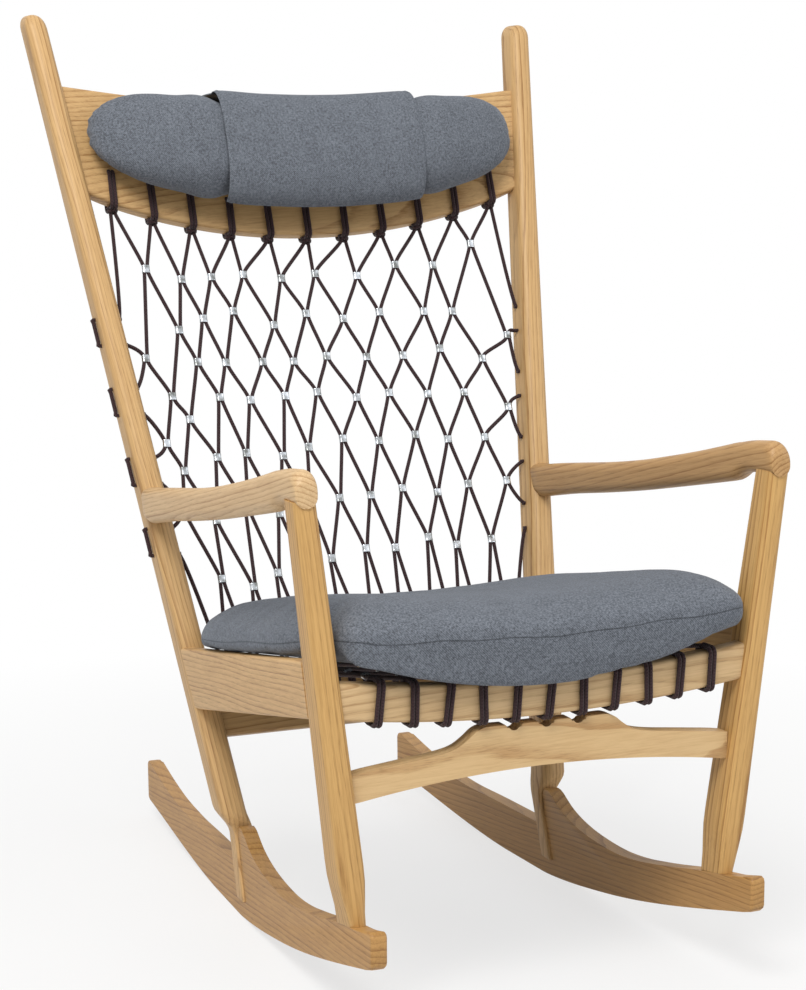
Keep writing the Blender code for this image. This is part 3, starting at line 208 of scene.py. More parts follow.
class Graph:
    """A small helper that adds shader nodes and links them by position."""

    def __init__(self, name):
        self.material = bpy.data.materials.new(name)
        self.material.use_nodes = True
        self.tree = self.material.node_tree
        self.shader = self.tree.nodes["Principled BSDF"]

    def add(self, kind, inputs=(), **settings):
        node = self.tree.nodes.new("ShaderNode" + kind)
        for key, value in settings.items():
            setattr(node, key, value)
        for key, value in dict(inputs).items():
            self.feed(node.inputs[key], value)
        return node

    def feed(self, socket, value):
        if hasattr(value, "is_output"):
            self.tree.links.new(value, socket)
        elif hasattr(value, "outputs"):
            self.tree.links.new(value.outputs[0], socket)
        else:
            socket.default_value = value

    def maths(self, operation, *values, clamp=False):
        node = self.add("Math", operation=operation, use_clamp=clamp)
        for socket, value in zip(node.inputs, values):
            self.feed(socket, value)
        return node.outputs[0]

    def plus(self, a, b, clamp=False):
        return self.maths("ADD", a, b, clamp=clamp)

    def minus(self, a, b, clamp=False):
        return self.maths("SUBTRACT", a, b, clamp=clamp)

    def times(self, a, b, clamp=False):
        return self.maths("MULTIPLY", a, b, clamp=clamp)

    def vector(self, operation, *values):
        node = self.add("VectorMath", operation=operation)
        for socket, value in zip(node.inputs, values):
            self.feed(socket, value)
        scalar = operation in ("DOT_PRODUCT", "LENGTH", "DISTANCE")
        return node.outputs["Value" if scalar else "Vector"]

    def scaled(self, value, factor):
        node = self.add("VectorMath", operation="SCALE")
        self.feed(node.inputs[0], value)
        self.feed(node.inputs["Scale"], factor)
        return node.outputs["Vector"]

    def noise(self, vector, scale, detail=2.0, roughness=0.5):
        inputs = {"Vector": vector, "Scale": scale, "Detail": detail, "Roughness": roughness}
        return self.add("TexNoise", inputs).outputs[0]

    def ramp(self, value, stops):
        node = self.add("ValToRGB", {"Fac": value})
        band = node.color_ramp
        while len(band.elements) < len(stops):
            band.elements.new(0.5)
        for element, (place, grey) in zip(band.elements, stops):
            element.position = place
            element.color = (grey, grey, grey, 1.0)
        return node.outputs[0]

    def blend(self, factor, a, b):
        node = self.add("Mix", data_type="RGBA")
        for index, value in ((0, factor), (6, a), (7, b)):
            self.feed(node.inputs[index], value)
        return node.outputs[2]

    def bump(self, height, strength, distance, **normal):
        inputs = {"Height": height, "Strength": strength, "Distance": distance, **normal}
        return self.add("Bump", inputs).outputs[0]

    def surface(self, colour, roughness, **inputs):
        """Sets the shader's inputs; their names are given with _ for each space."""
        inputs.update(Base_Color=colour, Roughness=roughness)
        for key, value in inputs.items():
            self.feed(self.shader.inputs[key.replace("_", " ")], value)
        return self.material


def shade(colour, gain):
    return (*(gain * c for c in colour), 1)


ASH = ((0.610, 0.392, 0.176), (0.335, 0.176, 0.062))
LEG_ASH = ((0.605, 0.366, 0.132), (0.335, 0.165, 0.045))
ROCKER_ASH = ((0.480, 0.268, 0.090), (0.265, 0.124, 0.035))
# The two arm colours are one ash: a darker copy as painted shade and a lighter copy as painted
# light
SHADED_ARM_ASH = ((0.500, 0.300, 0.128), (0.290, 0.145, 0.048))
LIT_ARM_ASH = ((0.640, 0.450, 0.246), (0.400, 0.230, 0.100))
RAIL_PALE_ASH = ((0.640, 0.450, 0.240), (0.430, 0.262, 0.118))
STRETCHER_PALE_ASH = ((0.660, 0.462, 0.236), (0.470, 0.280, 0.122))
GROWTH = ((0.0, 0.30), (0.05, 1.0), (0.17, 0.74), (0.36, 0.26), (0.66, 0.06), (1.0, 0.02))


def wood(name, axis, pith, pitch=0.0052, colours=ASH, tone=1.0, seed=0.0):
    """Oiled ash: growth rings round a pith line that runs beside the member along axis."""
    g = Graph(name)
    axis = Vector(axis).normalized()
    place = g.add("TexCoord").outputs["Object"]
    local = g.vector("SUBTRACT", place, tuple(pith))
    along = g.vector("DOT_PRODUCT", local, tuple(axis))
    run = g.scaled(tuple(axis), along)
    radial = g.vector("SUBTRACT", local, run)
    shift = (seed, 1.7 * seed, 2.3 * seed)

    def stretched(share):
        return g.vector("ADD", radial, g.scaled(run, share))

    # Rings, bent by slow and quick waves, each year with its own strength
    slow = g.vector("ADD", stretched(0.16), shift)
    wander = g.noise(slow, 11.0, 2.0, 0.5)
    ripple = g.noise(stretched(0.09), 70.0, 3.0, 0.6)
    bent = g.plus(g.vector("LENGTH", radial), g.times(g.minus(wander, 0.5), 0.028))
    bent = g.plus(bent, g.times(g.minus(ripple, 0.5), 0.0028))
    count = g.maths("DIVIDE", bent, pitch)
    band = g.ramp(g.maths("FRACT", count), GROWTH)
    number = g.plus(g.maths("FLOOR", count), 40 * seed)
    year = g.add("TexWhiteNoise", {"W": number}, noise_dimensions="1D").outputs["Value"]
    # Fibres and pores, drawn out along the grain
    streaks = g.noise(g.vector("ADD", stretched(0.022), shift), 430.0, 3.0, 0.62)
    fibre = g.noise(g.vector("ADD", stretched(0.035), shift), 1250.0, 2.0, 0.6)
    patch = g.noise(stretched(0.22), 13.0, 2.0, 0.6)
    pore = g.times(g.times(g.minus(fibre, 0.53), 7.0, clamp=True), band)
    weight = g.plus(0.30, g.times(year, 0.80))
    weight = g.times(weight, g.plus(0.45, g.times(patch, 1.05)))
    strength = g.times(band, weight)
    strength = g.plus(strength, g.times(g.minus(streaks, 0.5), 1.25))
    strength = g.plus(strength, g.times(g.minus(fibre, 0.5), 0.70))
    strength = g.plus(strength, 0.10, clamp=True)
    pale, deep = (shade(colour, tone) for colour in colours)
    colour = g.blend(strength, pale, deep)
    colour = g.blend(g.times(pore, 0.55), colour, shade(deep[:3], 0.55))
    warm = g.times(g.minus(g.noise(slow, 23.0, 2.0, 0.5), 0.42), 1.6, clamp=True)
    colour = g.blend(g.times(warm, 0.34), colour, shade((0.52, 0.290, 0.108), tone))
    height = g.minus(1.0, g.plus(g.times(band, 0.28), g.times(pore, 0.72)))
    height = g.plus(height, g.times(streaks, 0.30))
    return g.surface(colour, 0.47, Specular_IOR_Level=0.34, Normal=g.bump(height, 0.34, 0.00020))


def cloth(name, base=(0.124, 0.137, 0.160), seamed=False):
    """Grey wool twill: fine diagonal ribs from the object's coordinates and normals."""
    g = Graph(name)
    place = g.add("TexCoord").outputs["Object"]
    normal = g.add("NewGeometry").outputs["Normal"]
    wobble = g.add("TexNoise", {"Vector": place, "Scale": 260.0, "Detail": 2.0}).outputs["Color"]
    place = g.vector("ADD", place, g.scaled(g.vector("SUBTRACT", wobble, (0.5, 0.5, 0.5)), 0.0009))
    axes = g.add("SeparateXYZ", {"Vector": place})
    facing = g.add("SeparateXYZ", {"Vector": normal})
    pitch = 2 * math.pi / 0.0026
    total = None
    for across, up, face in ((1, 2, 0), (0, 2, 1), (0, 1, 2)):
        a, b = axes.outputs[across], axes.outputs[up]
        ribs = g.maths("SINE", g.times(g.plus(a, b), pitch))
        threads = g.maths("SINE", g.times(g.minus(a, b), pitch * 1.6))
        weave = g.plus(ribs, g.times(threads, 0.6))
        share = g.maths("POWER", g.maths("ABSOLUTE", facing.outputs[face]), 3.0)
        part = g.times(weave, share)
        total = part if total is None else g.plus(total, part)
    grain = g.noise(place, 470.0, 3.0, 0.65)
    cloud = g.noise(place, 34.0, 3.0, 0.6)
    speck = g.plus(g.times(total, 0.26), g.times(g.minus(grain, 0.5), 3.0))
    speck = g.plus(speck, g.times(g.minus(cloud, 0.5), 0.35))
    factor = g.plus(0.5, speck, clamp=True)
    colour = g.blend(factor, shade(base, 0.52), shade(base, 1.50))
    normal = g.bump(g.plus(g.times(total, 0.35), g.times(grain, 0.9)), 0.55, 0.00035)
    if seamed:
        # The attribute is each point's height over the seam
        height = g.maths("ABSOLUTE", g.add("Attribute", attribute_name="seam").outputs["Fac"])
        # Painted shade: the colour darkens along the seam line, where its crease lies in shade
        painted_crease_shade = g.minus(1.0, g.maths("DIVIDE", height, 0.0013), clamp=True)
        colour = g.blend(g.times(painted_crease_shade, 0.72), colour, shade(base, 0.16))
        wide = g.minus(1.0, g.maths("DIVIDE", height, 0.0050), clamp=True)
        normal = g.bump(g.maths("POWER", wide, 2.0), -0.9, 0.0016, Normal=normal)
    sheen = {"Sheen_Weight": 0.22, "Sheen_Roughness": 0.45, "Sheen_Tint": (0.62, 0.68, 0.76, 1)}
    return g.surface(colour, 0.88, Specular_IOR_Level=0.18, Normal=normal, **sheen)


def thread(name, base, strands=6, pitch=0.0034):
    """Braided cord: two crossing sets of yarns, from the tube's own turn and length."""
    g = Graph(name)
    flat = g.add("UVMap", uv_map="lay").outputs["UV"]
    parts = g.add("SeparateXYZ", {"Vector": flat})
    turn = g.times(parts.outputs[0], math.pi * strands)
    length = g.times(parts.outputs[1], 2 * math.pi / pitch)
    one = g.maths("SINE", g.plus(turn, length))
    other = g.maths("SINE", g.minus(turn, length))
    braid = g.maths("MAXIMUM", one, other)
    fuzz = g.noise(g.add("TexCoord").outputs["Object"], 900.0, 2.0, 0.6)
    factor = g.plus(g.times(braid, 0.38), g.times(fuzz, 0.5), clamp=True)
    colour = g.blend(factor, shade(base, 0.45), shade(base, 1.75))
    normal = g.bump(g.plus(braid, g.times(fuzz, 0.4)), 0.8, 0.0004)
    return g.surface(colour, 0.74, Specular_IOR_Level=0.30, Sheen_Weight=0.12, Normal=normal)


def metal(name):
    """Bright plated clips with fine drawn scratches; random patches from dark grey to light blue
    are painted reflections and highlights.
    """
    g = Graph(name)
    place = g.add("TexCoord").outputs["Object"]
    drawn = g.noise(g.vector("MULTIPLY", place, (1.0, 0.25, 0.08)), 1400.0, 2.0, 0.6)
    smear = g.noise(place, 120.0, 2.0, 0.5)
    # Painted reflections: noise patches blend dark grey and light blue in the base colour
    painted_reflection = g.times(g.minus(smear, 0.36), 3.4, clamp=True)
    colour = g.blend(painted_reflection, (0.22, 0.23, 0.225, 1), (0.66, 0.70, 0.75, 1))
    rough = g.plus(0.18, g.times(drawn, 0.20))
    return g.surface(colour, rough, Metallic=1.0, Normal=g.bump(drawn, 0.15, 0.0001))


# Shape helpers


def rounded_rectangle(width, height, radius, steps=5):
    radius = min(radius, 0.49 * width, 0.49 * height)
    points = []
    for right, up, start in ((1, -1, -90), (1, 1, 0), (-1, 1, 90), (-1, -1, 180)):
        for step in range(steps + 1):
            angle = math.radians(start + 90 * step / steps)
            u = right * (width / 2 - radius) + radius * math.cos(angle)
            v = up * (height / 2 - radius) + radius * math.sin(angle)
            points.append((u, v))
    return points


def ring(centre, across, along, points):
    return [centre + across * u + along * v for u, v in points]


def section(x, reach, z, width, depth, radius, steps=6):
    """A level section of an upright member."""
    return ring(at(x, reach, z), ACROSS, BEHIND, rounded_rectangle(width, depth, radius, steps))


def put(name, data):
    thing = bpy.data.objects.new(name, data)
    bpy.context.scene.collection.objects.link(thing)
    return thing


def show(name, mesh, material, node, body="frame"):
    """Adds a finished piece that stands for a node of the frame."""
    piece = put(name, mesh)
    mesh.materials.append(material)
    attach(piece, body)
    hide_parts(node)


def mesh_from(name, form, sharp):
    bmesh.ops.recalc_face_normals(form, faces=form.faces)
    if form.calc_volume(signed=True) < 0:
        bmesh.ops.reverse_faces(form, faces=form.faces)
    mesh = bpy.data.meshes.new(name)
    form.to_mesh(mesh)
    form.free()
    mesh.shade_smooth()
    mesh.set_sharp_from_angle(angle=math.radians(sharp))
    return mesh


def loft_into(form, rings, closed=False):
    """Joins rings of equal length into one skin, shut by its end rings or round to the first."""
    rows = [[form.verts.new(point) for point in points] for points in rings]
    count = len(rows[0])
    pairs = list(zip(rows, rows[1:]))
    if closed:
        pairs.append((rows[-1], rows[0]))
    for lower, upper in pairs:
        for i in range(count):
            j = (i + 1) % count
            form.faces.new((lower[i], lower[j], upper[j], upper[i]))
    if not closed:
        form.faces.new(rows[0])
        form.faces.new(rows[-1])


def loft(name, rings, material, node, body="frame", sharp=50):
    form = bmesh.new()
    loft_into(form, rings)
    show(name, mesh_from(name, form, sharp), material, node, body)


def spread(stops, count):
    """Stations between tuples of numbers, on a smooth curve through them."""
    out = []
    last = len(stops) - 1
    for i in range(count):
        t = last * i / (count - 1)
        k = min(int(t), last - 1)
        f = t - k
        p0, p1, p2, p3 = stops[max(0, k - 1)], stops[k], stops[k + 1], stops[min(last, k + 2)]
        row = []
        for a, b, c, d in zip(p0, p1, p2, p3):
            cube = 3 * (b - c) + d - a
            row.append(b + 0.5 * f * (c - a + f * (2 * a - 5 * b + 4 * c - d + f * cube)))
        out.append(tuple(row))
    return out


class Tubes:
    """Many cord tubes in one mesh, each with its turn and length as the map 'lay'."""

    sides = 8

    def __init__(self):
        self.points = []
        self.faces = []
        self.maps = []

    def add(self, path, radius=CORD_RADIUS, closed=False):
        sides, count = self.sides, len(path)
        base = len(self.points)
        length = 0.0
        lengths = [0.0]
        for a, b in zip(path, path[1:]):
            length += (b - a).length
            lengths.append(length)
        tangent = (path[1] - path[0]).normalized()
        normal = tangent.orthogonal().normalized()
        for i, point in enumerate(path):
            if closed:
                run = (path[(i + 1) % count] - path[i - 1]).normalized()
            else:
                run = (path[min(i + 1, count - 1)] - path[max(i - 1, 0)]).normalized()
            normal = (normal - run * normal.dot(run)).normalized()
            side = run.cross(normal)
            for k in range(sides):
                angle = 2 * math.pi * k / sides
                away = normal * math.cos(angle) + side * math.sin(angle)
                self.points.append(point + away * radius)
        steps = count if closed else count - 1
        if closed:
            lengths.append(length + (path[0] - path[-1]).length)
        for i in range(steps):
            low = base + i * sides
            high = base + ((i + 1) % count) * sides
            for k in range(sides):
                j = (k + 1) % sides
                self.faces.append((low + k, low + j, high + j, high + k))
                a, b = lengths[i], lengths[i + 1]
                u, v = k / sides, (k + 1) / sides
                self.maps += [(u, a), (v, a), (v, b), (u, b)]
        if not closed:
            for start in (base, base + (count - 1) * sides):
                self.faces.append(tuple(start + k for k in range(sides)))
                self.maps += [(k / sides, 0.0) for k in range(sides)]

    def mesh(self, name):
        mesh = bpy.data.meshes.new(name)
        mesh.from_pydata([tuple(p) for p in self.points], [], self.faces)
        layer = mesh.uv_layers.new(name="lay")
        flat = [value for pair in self.maps for value in pair]
        layer.data.foreach_set("uv", flat)
        form = bmesh.new()
        form.from_mesh(mesh)
        bmesh.ops.recalc_face_normals(form, faces=form.faces)
        form.to_mesh(mesh)
        form.free()
        mesh.shade_smooth()
        mesh.set_sharp_from_angle(angle=math.radians(60))
        return mesh


def curve_between(a, a_run, b, b_run, count=12):
    """A cubic from a to b that leaves along a_run and arrives along b_run."""
    points = []
    for i in range(count + 1):
        t = i / count
        s = 1 - t
        first, last = (a + a_run) * (3 * s * s * t), (b - b_run) * (3 * s * t * t)
        points.append(a * s**3 + first + last + b * t**3)
    return points


def through(points):
    """A smooth line through points."""
    stops = [tuple(p) for p in points]
    return [Vector(p) for p in spread(stops, (len(stops) - 1) * 3 + 1)]


# Camera, light and floor

VIEW_TURN = math.radians(-22.69)
VIEW_RISE = math.radians(9.05)
VIEW_ROLL = math.radians(-0.29)
CAMERA_PLACE = Vector((-1.028, -2.42752, 0.892))


def make_camera():
    data = bpy.data.cameras.new("camera")
    data.lens = 80.65
    data.sensor_width = 36.0
    data.sensor_fit = "AUTO"
    data.shift_x = 0.0086
    data.shift_y = 0.0220
    camera = put("camera", data)
    level = math.cos(VIEW_RISE)
    back = Vector((math.sin(VIEW_TURN) * level, -math.cos(VIEW_TURN) * level, math.sin(VIEW_RISE)))
    turn = (-back).to_track_quat("-Z", "Y").to_matrix().to_4x4()
    roll = Matrix.Rotation(VIEW_ROLL, 4, "Z")
    camera.matrix_world = Matrix.Translation(CAMERA_PLACE) @ turn @ roll
    bpy.context.scene.camera = camera


def seen_share(g):
    """1 for rays from the camera, from mirrors and through glass."""
    path = g.add("LightPath")
    seen = g.maths("MAXIMUM", path.outputs["Is Camera Ray"], path.outputs["Is Glossy Ray"])
    return g.maths("MAXIMUM", seen, path.outputs["Is Transmission Ray"])


def make_world():
    world = bpy.data.worlds.new("studio")
    bpy.context.scene.world = world
    world.use_nodes = True
    g = Graph.__new__(Graph)
    g.tree = world.node_tree
    background = g.tree.nodes["Background"]
    seen = seen_share(g)
    g.feed(background.inputs["Color"], (1, 1, 1, 1))
    rise = g.add("SeparateXYZ", {"Vector": g.add("TexCoord").outputs["Generated"]}).outputs[2]
    sky = g.plus(0.15, g.times(g.maths("MAXIMUM", rise, 0.0), 0.76))
    hidden = g.times(g.minus(1.0, seen), sky)
    g.feed(background.inputs["Strength"], g.plus(seen, hidden))


def make_floor():
    g = Graph("floor")
    seen = seen_share(g)
    place = g.add("TexCoord").outputs["Object"]
    far = g.times(g.minus(g.vector("LENGTH", place), 0.55), 1.1, clamp=True)
    share = g.times(seen, g.plus(0.70, g.times(far, 0.30)))
    glow = g.add("Emission", {"Color": (1, 1, 1, 1), "Strength": 1.0})
    g.surface((0.76, 0.76, 0.76, 1), 0.9, Specular_IOR_Level=0.1)
    both = g.add("MixShader")
    for socket, value in zip(both.inputs, (share, g.shader, glow)):
        g.feed(socket, value)
    g.feed(g.tree.nodes["Material Output"].inputs["Surface"], both)
    form = bmesh.new()
    bmesh.ops.create_grid(form, x_segments=8, y_segments=8, size=30)
    mesh = bpy.data.meshes.new("floor")
    form.to_mesh(mesh)
    form.free()
    mesh.materials.append(g.material)
    floor = put("floor", mesh)
    floor.location.z = -0.0006
    floor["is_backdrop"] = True


def add_lamp(name, place, target, size, power, colour):
    data = bpy.data.lights.new(name, "AREA")
    data.shape = "RECTANGLE"
    data.size, data.size_y = size
    data.energy = power
    data.color = colour
    lamp = put(name, data)
    lamp.location = place
    lamp.rotation_mode = "QUATERNION"
    lamp.rotation_quaternion = (Vector(target) - Vector(place)).to_track_quat("-Z", "Y")


make_camera()
make_world()
make_floor()
add_lamp("key", (-1.5, -1.9, 3.3), (0, 0, 0.5), (1.6, 1.6), 102, (1.0, 0.985, 0.96))
add_lamp("fill", (2.6, -2.2, 1.6), (0, 0, 0.5), (2.0, 2.0), 20, (0.96, 0.98, 1.0))
bpy.context.scene.view_settings.view_transform = "Standard"

cord_material = thread("cord", (0.031, 0.0125, 0.0145))
clip_material = metal("clip")
cloth_material = cloth("cloth")
seat_material = cloth("seat_cloth", seamed=True)

# Frame

SIDES = (("left", 1), ("right", -1))


def make_post(label, side):
    low = 0.16
    heights = [POST_FOOT + i * (low - POST_FOOT) / 28 for i in range(29)]
    heights += [low + i * (POST_TOP - POST_TIP - low) / 24 for i in range(1, 25)]
    width, depth = post_size(POST_FOOT)
    foot = (side * post_x(POST_FOOT), post_reach(POST_FOOT), POST_FOOT)
    rings = [section(*foot, width - 0.002, depth - 0.002, 0.002)]
    for z in heights:
        corner = mix(POST_CORNER, 0.003, tongue_share(z))
        lift = 0.001 if z == POST_FOOT else 0.0
        rings.append(section(side * post_x(z), post_reach(z), z + lift, *post_size(z), corner))
    for i in range(1, 9):
        angle = math.radians(90 * i / 8.6)
        z = POST_TOP - POST_TIP + POST_TIP * math.sin(angle)
        share = math.cos(angle) ** 0.8
        width, depth = post_size(z)
        size = (width * share, depth - width * (1 - share))
        rings.append(section(side * post_x(z), post_reach(z), z, *size, POST_CORNER * share))
    pith = at(side * (post_x(0.5) + 0.046), post_reach(0.5) + 0.018, 0.5)
    run = (side * (POST_SPLAY + 0.020), POST_LEAN + 0.022, 1)
    grain = wood("post_wood_" + label, run, pith, 0.0050, seed=0.31 if side > 0 else 0.84)
    loft("back_post_" + label + "_wood", rings, grain, "back_post_" + label)


def make_leg(label, side):
    rings = []
    for i in range(27):
        z = mix(LEG_LOW, ARM_SEAT + 0.006, i / 26)
        rings.append(section(side * leg_x(z), leg_reach(z), z, *leg_size(z), 0.0078, 5))
    # The foot follows the slope of the rocker's pad
    for p in rings[0]:
        p.z = LEG_LOW + 0.17 * (FLOOR_LINE - p.y - LEG_FLOOR_REACH) + GAP
    pith = at(side * (leg_x(0.33) + 0.024), leg_reach(0.33) + 0.050, 0.33)
    run = (side * LEG_SPLAY, -LEG_LEAN, 1)
    grain = wood("leg_wood_" + label, run, pith, 0.0054, LEG_ASH, seed=0.11 if side > 0 else 0.57)
    loft("front_leg_" + label + "_wood", rings, grain, "front_leg_" + label)


for label, side in SIDES:
    make_post(label, side)
    make_leg(label, side)


def dress(node, material):
    """Gives a CAD node that keeps its own shape a finished surface."""
    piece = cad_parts[node]
    piece.data.materials.clear()
    piece.data.materials.append(material)
    for polygon in piece.data.polygons:
        polygon.material_index = 0
        polygon.use_smooth = True
    weld = piece.modifiers.new("weld", "WELD")
    weld.merge_threshold = 0.00002


def board(name, outline, place, thickness, edge, material, node):
    """A board with this flat outline and softened edges; place turns (u, v, depth) into space."""
    form = bmesh.new()
    front = [form.verts.new((u, v, thickness / 2)) for u, v in outline]
    back = [form.verts.new((u, v, -thickness / 2)) for u, v in outline]
    form.faces.new(front)
    form.faces.new(list(reversed(back)))
    for i in range(len(outline)):
        j = (i + 1) % len(outline)
        form.faces.new((front[i], back[i], back[j], front[j]))
    rims = [e for e in form.edges if (e.verts[0].co.z > 0) == (e.verts[1].co.z > 0)]
    bmesh.ops.bevel(
        form, geom=rims, offset=edge, segments=4, profile=0.5, affect="EDGES", clamp_overlap=True
    )
    for vertex in form.verts:
        vertex.co = place(*vertex.co)
    show(name, mesh_from(name, form, 42), material, node)


ROCKER_REAR = -0.368
ROCKER_FRONT = 0.540
FLAT_REAR = -0.030
FLAT_FRONT = 0.078
FLAT_EASE = 0.150


def rocker_under(reach):
    """The underside's height: a curve that eases into a short flat stretch."""

    def curve(r):
        return r**2 / 3.1 + 0.21 * r**3 - 0.43 * r**4

    if FLAT_REAR < reach < FLAT_FRONT:
        return 0.0
    edge = FLAT_FRONT if reach > 0 else FLAT_REAR
    faded = 1 - smooth((abs(reach) - abs(edge)) / FLAT_EASE)
    return max(0.0, curve(reach) - curve(edge) * faded)


# Upper edge of the rocker as reach and height: from the leg's pad down and up to the post's hump,
# and from behind the post to the tail
HOLLOW = (
    (0.499, 0.1190), (0.454, 0.1114), (0.420, 0.1044), (0.393, 0.0982), (0.365, 0.0920),
    (0.335, 0.0860), (0.305, 0.0805), (0.275, 0.0768), (0.250, 0.0752), (0.225, 0.0753),
    (0.200, 0.0765), (0.178, 0.0785), (0.158, 0.0815), (0.137, 0.0862), (0.118, 0.0925),
    (0.103, 0.1000), (0.094, 0.1050), (0.086, 0.1080), (0.0765, 0.1090),
)
TAIL = (
    (0.0828, 0.0605), (0.030, 0.0600), (-0.060, 0.0590), (-0.130, 0.0572), (-0.170, 0.0578),
    (-0.200, 0.0587), (-0.230, 0.0605), (-0.260, 0.0638), (-0.290, 0.0680), (-0.320, 0.0730),
    (-0.350, 0.0785),
)
NOSE = ((0.0015, 0.0022), (0, 0.006), (0, 0.032), (0.0015, 0.0362), (0.006, 0.038))


def rocker_outline():
    outline = []
    for i in range(91):
        reach = mix(ROCKER_REAR, ROCKER_FRONT - 0.006, i / 90)
        outline.append((reach, rocker_under(reach)))
    tip = rocker_under(ROCKER_FRONT)
    outline += [(ROCKER_FRONT - back, tip + rise) for back, rise in NOSE]
    outline += spread(HOLLOW, 70)
    outline += [(0.0728, 0.1082), (0.0702, 0.1052), (0.0700, 0.1000), (0.0702, 0.0950)]
    outline += spread(TAIL, 50)
    outline += [(-0.360, 0.0795), (-0.366, 0.0780), (-0.369, 0.0735)]
    return outline


def make_rocker(label, side):
    turn = Vector((side * ROCKER_TOE, -1, 0)).normalized()
    across = Vector((-turn.y, turn.x, 0))
    base = Vector((side * ROCKER_HALF_SPREAD, FLOOR_LINE, 0))

    def place(u, v, depth):
        return base + turn * u + across * depth + ABOVE * v

    pith = at(side * (ROCKER_HALF_SPREAD + 0.035), 0.1, -0.055)
    seed = 0.30 if side > 0 else 0.75
    grain = wood("rocker_wood_" + label, (0.02, -1, 0.10), pith, 0.0062, ROCKER_ASH, seed=seed)
    node = "rocker_" + label
    board(node + "_wood", rocker_outline(), place, ROCKER_THICKNESS, 0.0034, grain, node)


ARM_LINE = (
    # reach, underside, top
    (-0.056, 0.4612, 0.5034), (-0.030, 0.4660, 0.5080), (0.030, 0.4765, 0.5160),
    (0.110, 0.4885, 0.5265), (0.190, 0.5015, 0.5390), (0.260, 0.5143, 0.5525),
    (0.320, 0.5255, 0.5650), (0.370, 0.5350, 0.5765), (0.398, 0.5405, 0.5832),
    (0.408, 0.5440, 0.5850), (0.418, 0.5500, 0.5870), (0.428, 0.5535, 0.5888),
    (0.440, 0.5550, 0.5905), (0.466, 0.5555, 0.5930),
)
# The rear end, hollowed to the post's front: wrap, trim above and below, share of the width
ARM_COPE = (
    (0.0100, 0.0085, 0.66), (0.0094, 0.0050, 0.82), (0.0080, 0.0028, 0.91), (0.0050, 0.0010, 0.97),
)
ARM_REAR = -0.067
ARM_LENGTH = 0.5515
ARM_REAR_MIDDLE = 0.4823
KNUCKLE_REACH = 0.4665
KNUCKLE_LENGTH = 0.0180
KNUCKLE_TOP = 0.5931


def make_arm(label, side):
    def arm_ring(reach, under, top, share=1.0):
        along = (reach - ARM_REAR) / ARM_LENGTH
        width = mix(0.033, 0.026, along) * share
        x = mix(post_x(ARM_REAR_MIDDLE) + 0.0025, leg_x(ARM_SEAT), along)
        points = rounded_rectangle(width, top - under, 0.0125 * share, 7)
        return ring(at(side * x, reach, (under + top) / 2), ACROSS, ABOVE, points)

    rings = []
    _, low, high = ARM_LINE[0]
    for wrap_back, trim, share in ARM_COPE:
        points = arm_ring(ARM_REAR, low + trim, high - trim, share)
        rings.append([Vector((p.x, FLOOR_LINE + wrap_back - post_front(p.z), p.z)) for p in points])
    rings += [arm_ring(*stop) for stop in spread(ARM_LINE, 84)]
    # The knuckle over the leg
    for i in range(1, 8):
        angle = math.radians(90 * i / 7.4)
        drop = 1 - math.cos(angle)
        reach = KNUCKLE_REACH + KNUCKLE_LENGTH * math.sin(angle)
        rings.append(arm_ring(reach, ARM_SEAT, KNUCKLE_TOP - 0.016 * drop, 1 - 0.14 * drop))
    # Painted light: the arm on the +X side gets the darker copy as painted shade, the other the
    # lighter copy as painted light
    colours, seed = (SHADED_ARM_ASH, 0.2) if side > 0 else (LIT_ARM_ASH, 0.65)
    pith = at(side * 0.292, 0.2, 0.470)
    grain = wood("arm_wood_" + label, (0.02, -1, 0.215), pith, 0.0050, colours, seed=seed)
    loft(f"arm_{label}_wood", rings, grain, "arm_" + label)


def rail(name, stations, radius, material, node):
    """stations: centre, across, along, thickness and height, from end to end."""
    rings = []
    for centre, across, along, thickness, height in stations:
        rings.append(ring(centre, across, along, rounded_rectangle(thickness, height, radius, 5)))
    loft(name, rings, material, node)


def leant(splay):
    """Across and along a rail's section where it meets a post that leans and splays."""
    across = Vector((-splay * POST_LEAN, 1, -POST_LEAN)) / LEAN_LENGTH
    return across, Vector((splay, POST_LEAN, 1)) / LEAN_LENGTH


SIDE_RAIL_ENDS = (
    # reach, outer face's x, splay and lean of the member there, middle height
    (-0.0075, 0.2505, POST_SPLAY, -POST_LEAN, 0.278),
    (0.4415, 0.2633, LEG_SPLAY, LEG_LEAN, 0.362),
)
SIDE_RAIL_THICKNESS = 0.020
SIDE_RAIL_TOP = 0.3135
SIDE_RAIL_RISE = 0.180


def make_side_rail(label, side):
    stations = []
    for reach, outer, splay, lean, middle in SIDE_RAIL_ENDS:
        top, bottom = SIDE_RAIL_TOP + SIDE_RAIL_RISE * reach, 0.2425 + 0.199 * reach
        along = Vector((side * splay, -lean, 1))
        centre = at(side * (outer - 0.0105), reach, middle) + along * ((top + bottom) / 2 - middle)
        stations.append((centre, ACROSS, along, SIDE_RAIL_THICKNESS, top - bottom))
    seed = 0.42 if side > 0 else 0.85
    pith = at(side * 0.226, 0.2, 0.250)
    grain = wood("side_rail_wood_" + label, (0.03, -1, 0.150), pith, 0.0060, tone=1.04, seed=seed)
    node = "seat_side_rail_" + label
    rail(node + "_wood", stations, 0.0040, grain, node)


def make_top_rail():
    stations = []
    end = post_inner(0.917) + 0.004
    for i in range(61):
        x = mix(-end, end, i / 60)
        bottom, top = top_rail_span(x)
        centre = on_top_rail(x, (bottom + top) / 2)
        across, along = leant(POST_SPLAY * (x / end) ** 9)
        stations.append((centre, across, along, RAIL_THICKNESS, (top - bottom) * LEAN_LENGTH))
    pith = at(0, post_reach(0.9) - 0.055, 0.80)
    grain = wood("top_rail_wood", (1, 0.03, 0.05), pith, 0.0060, tone=0.97, seed=0.4)
    rail("top_rail_wood", stations, 0.0055, grain, "top_rail")


def on_rear_rail(x):
    return at(x, post_reach(REAR_RAIL_CENTRE), REAR_RAIL_CENTRE)


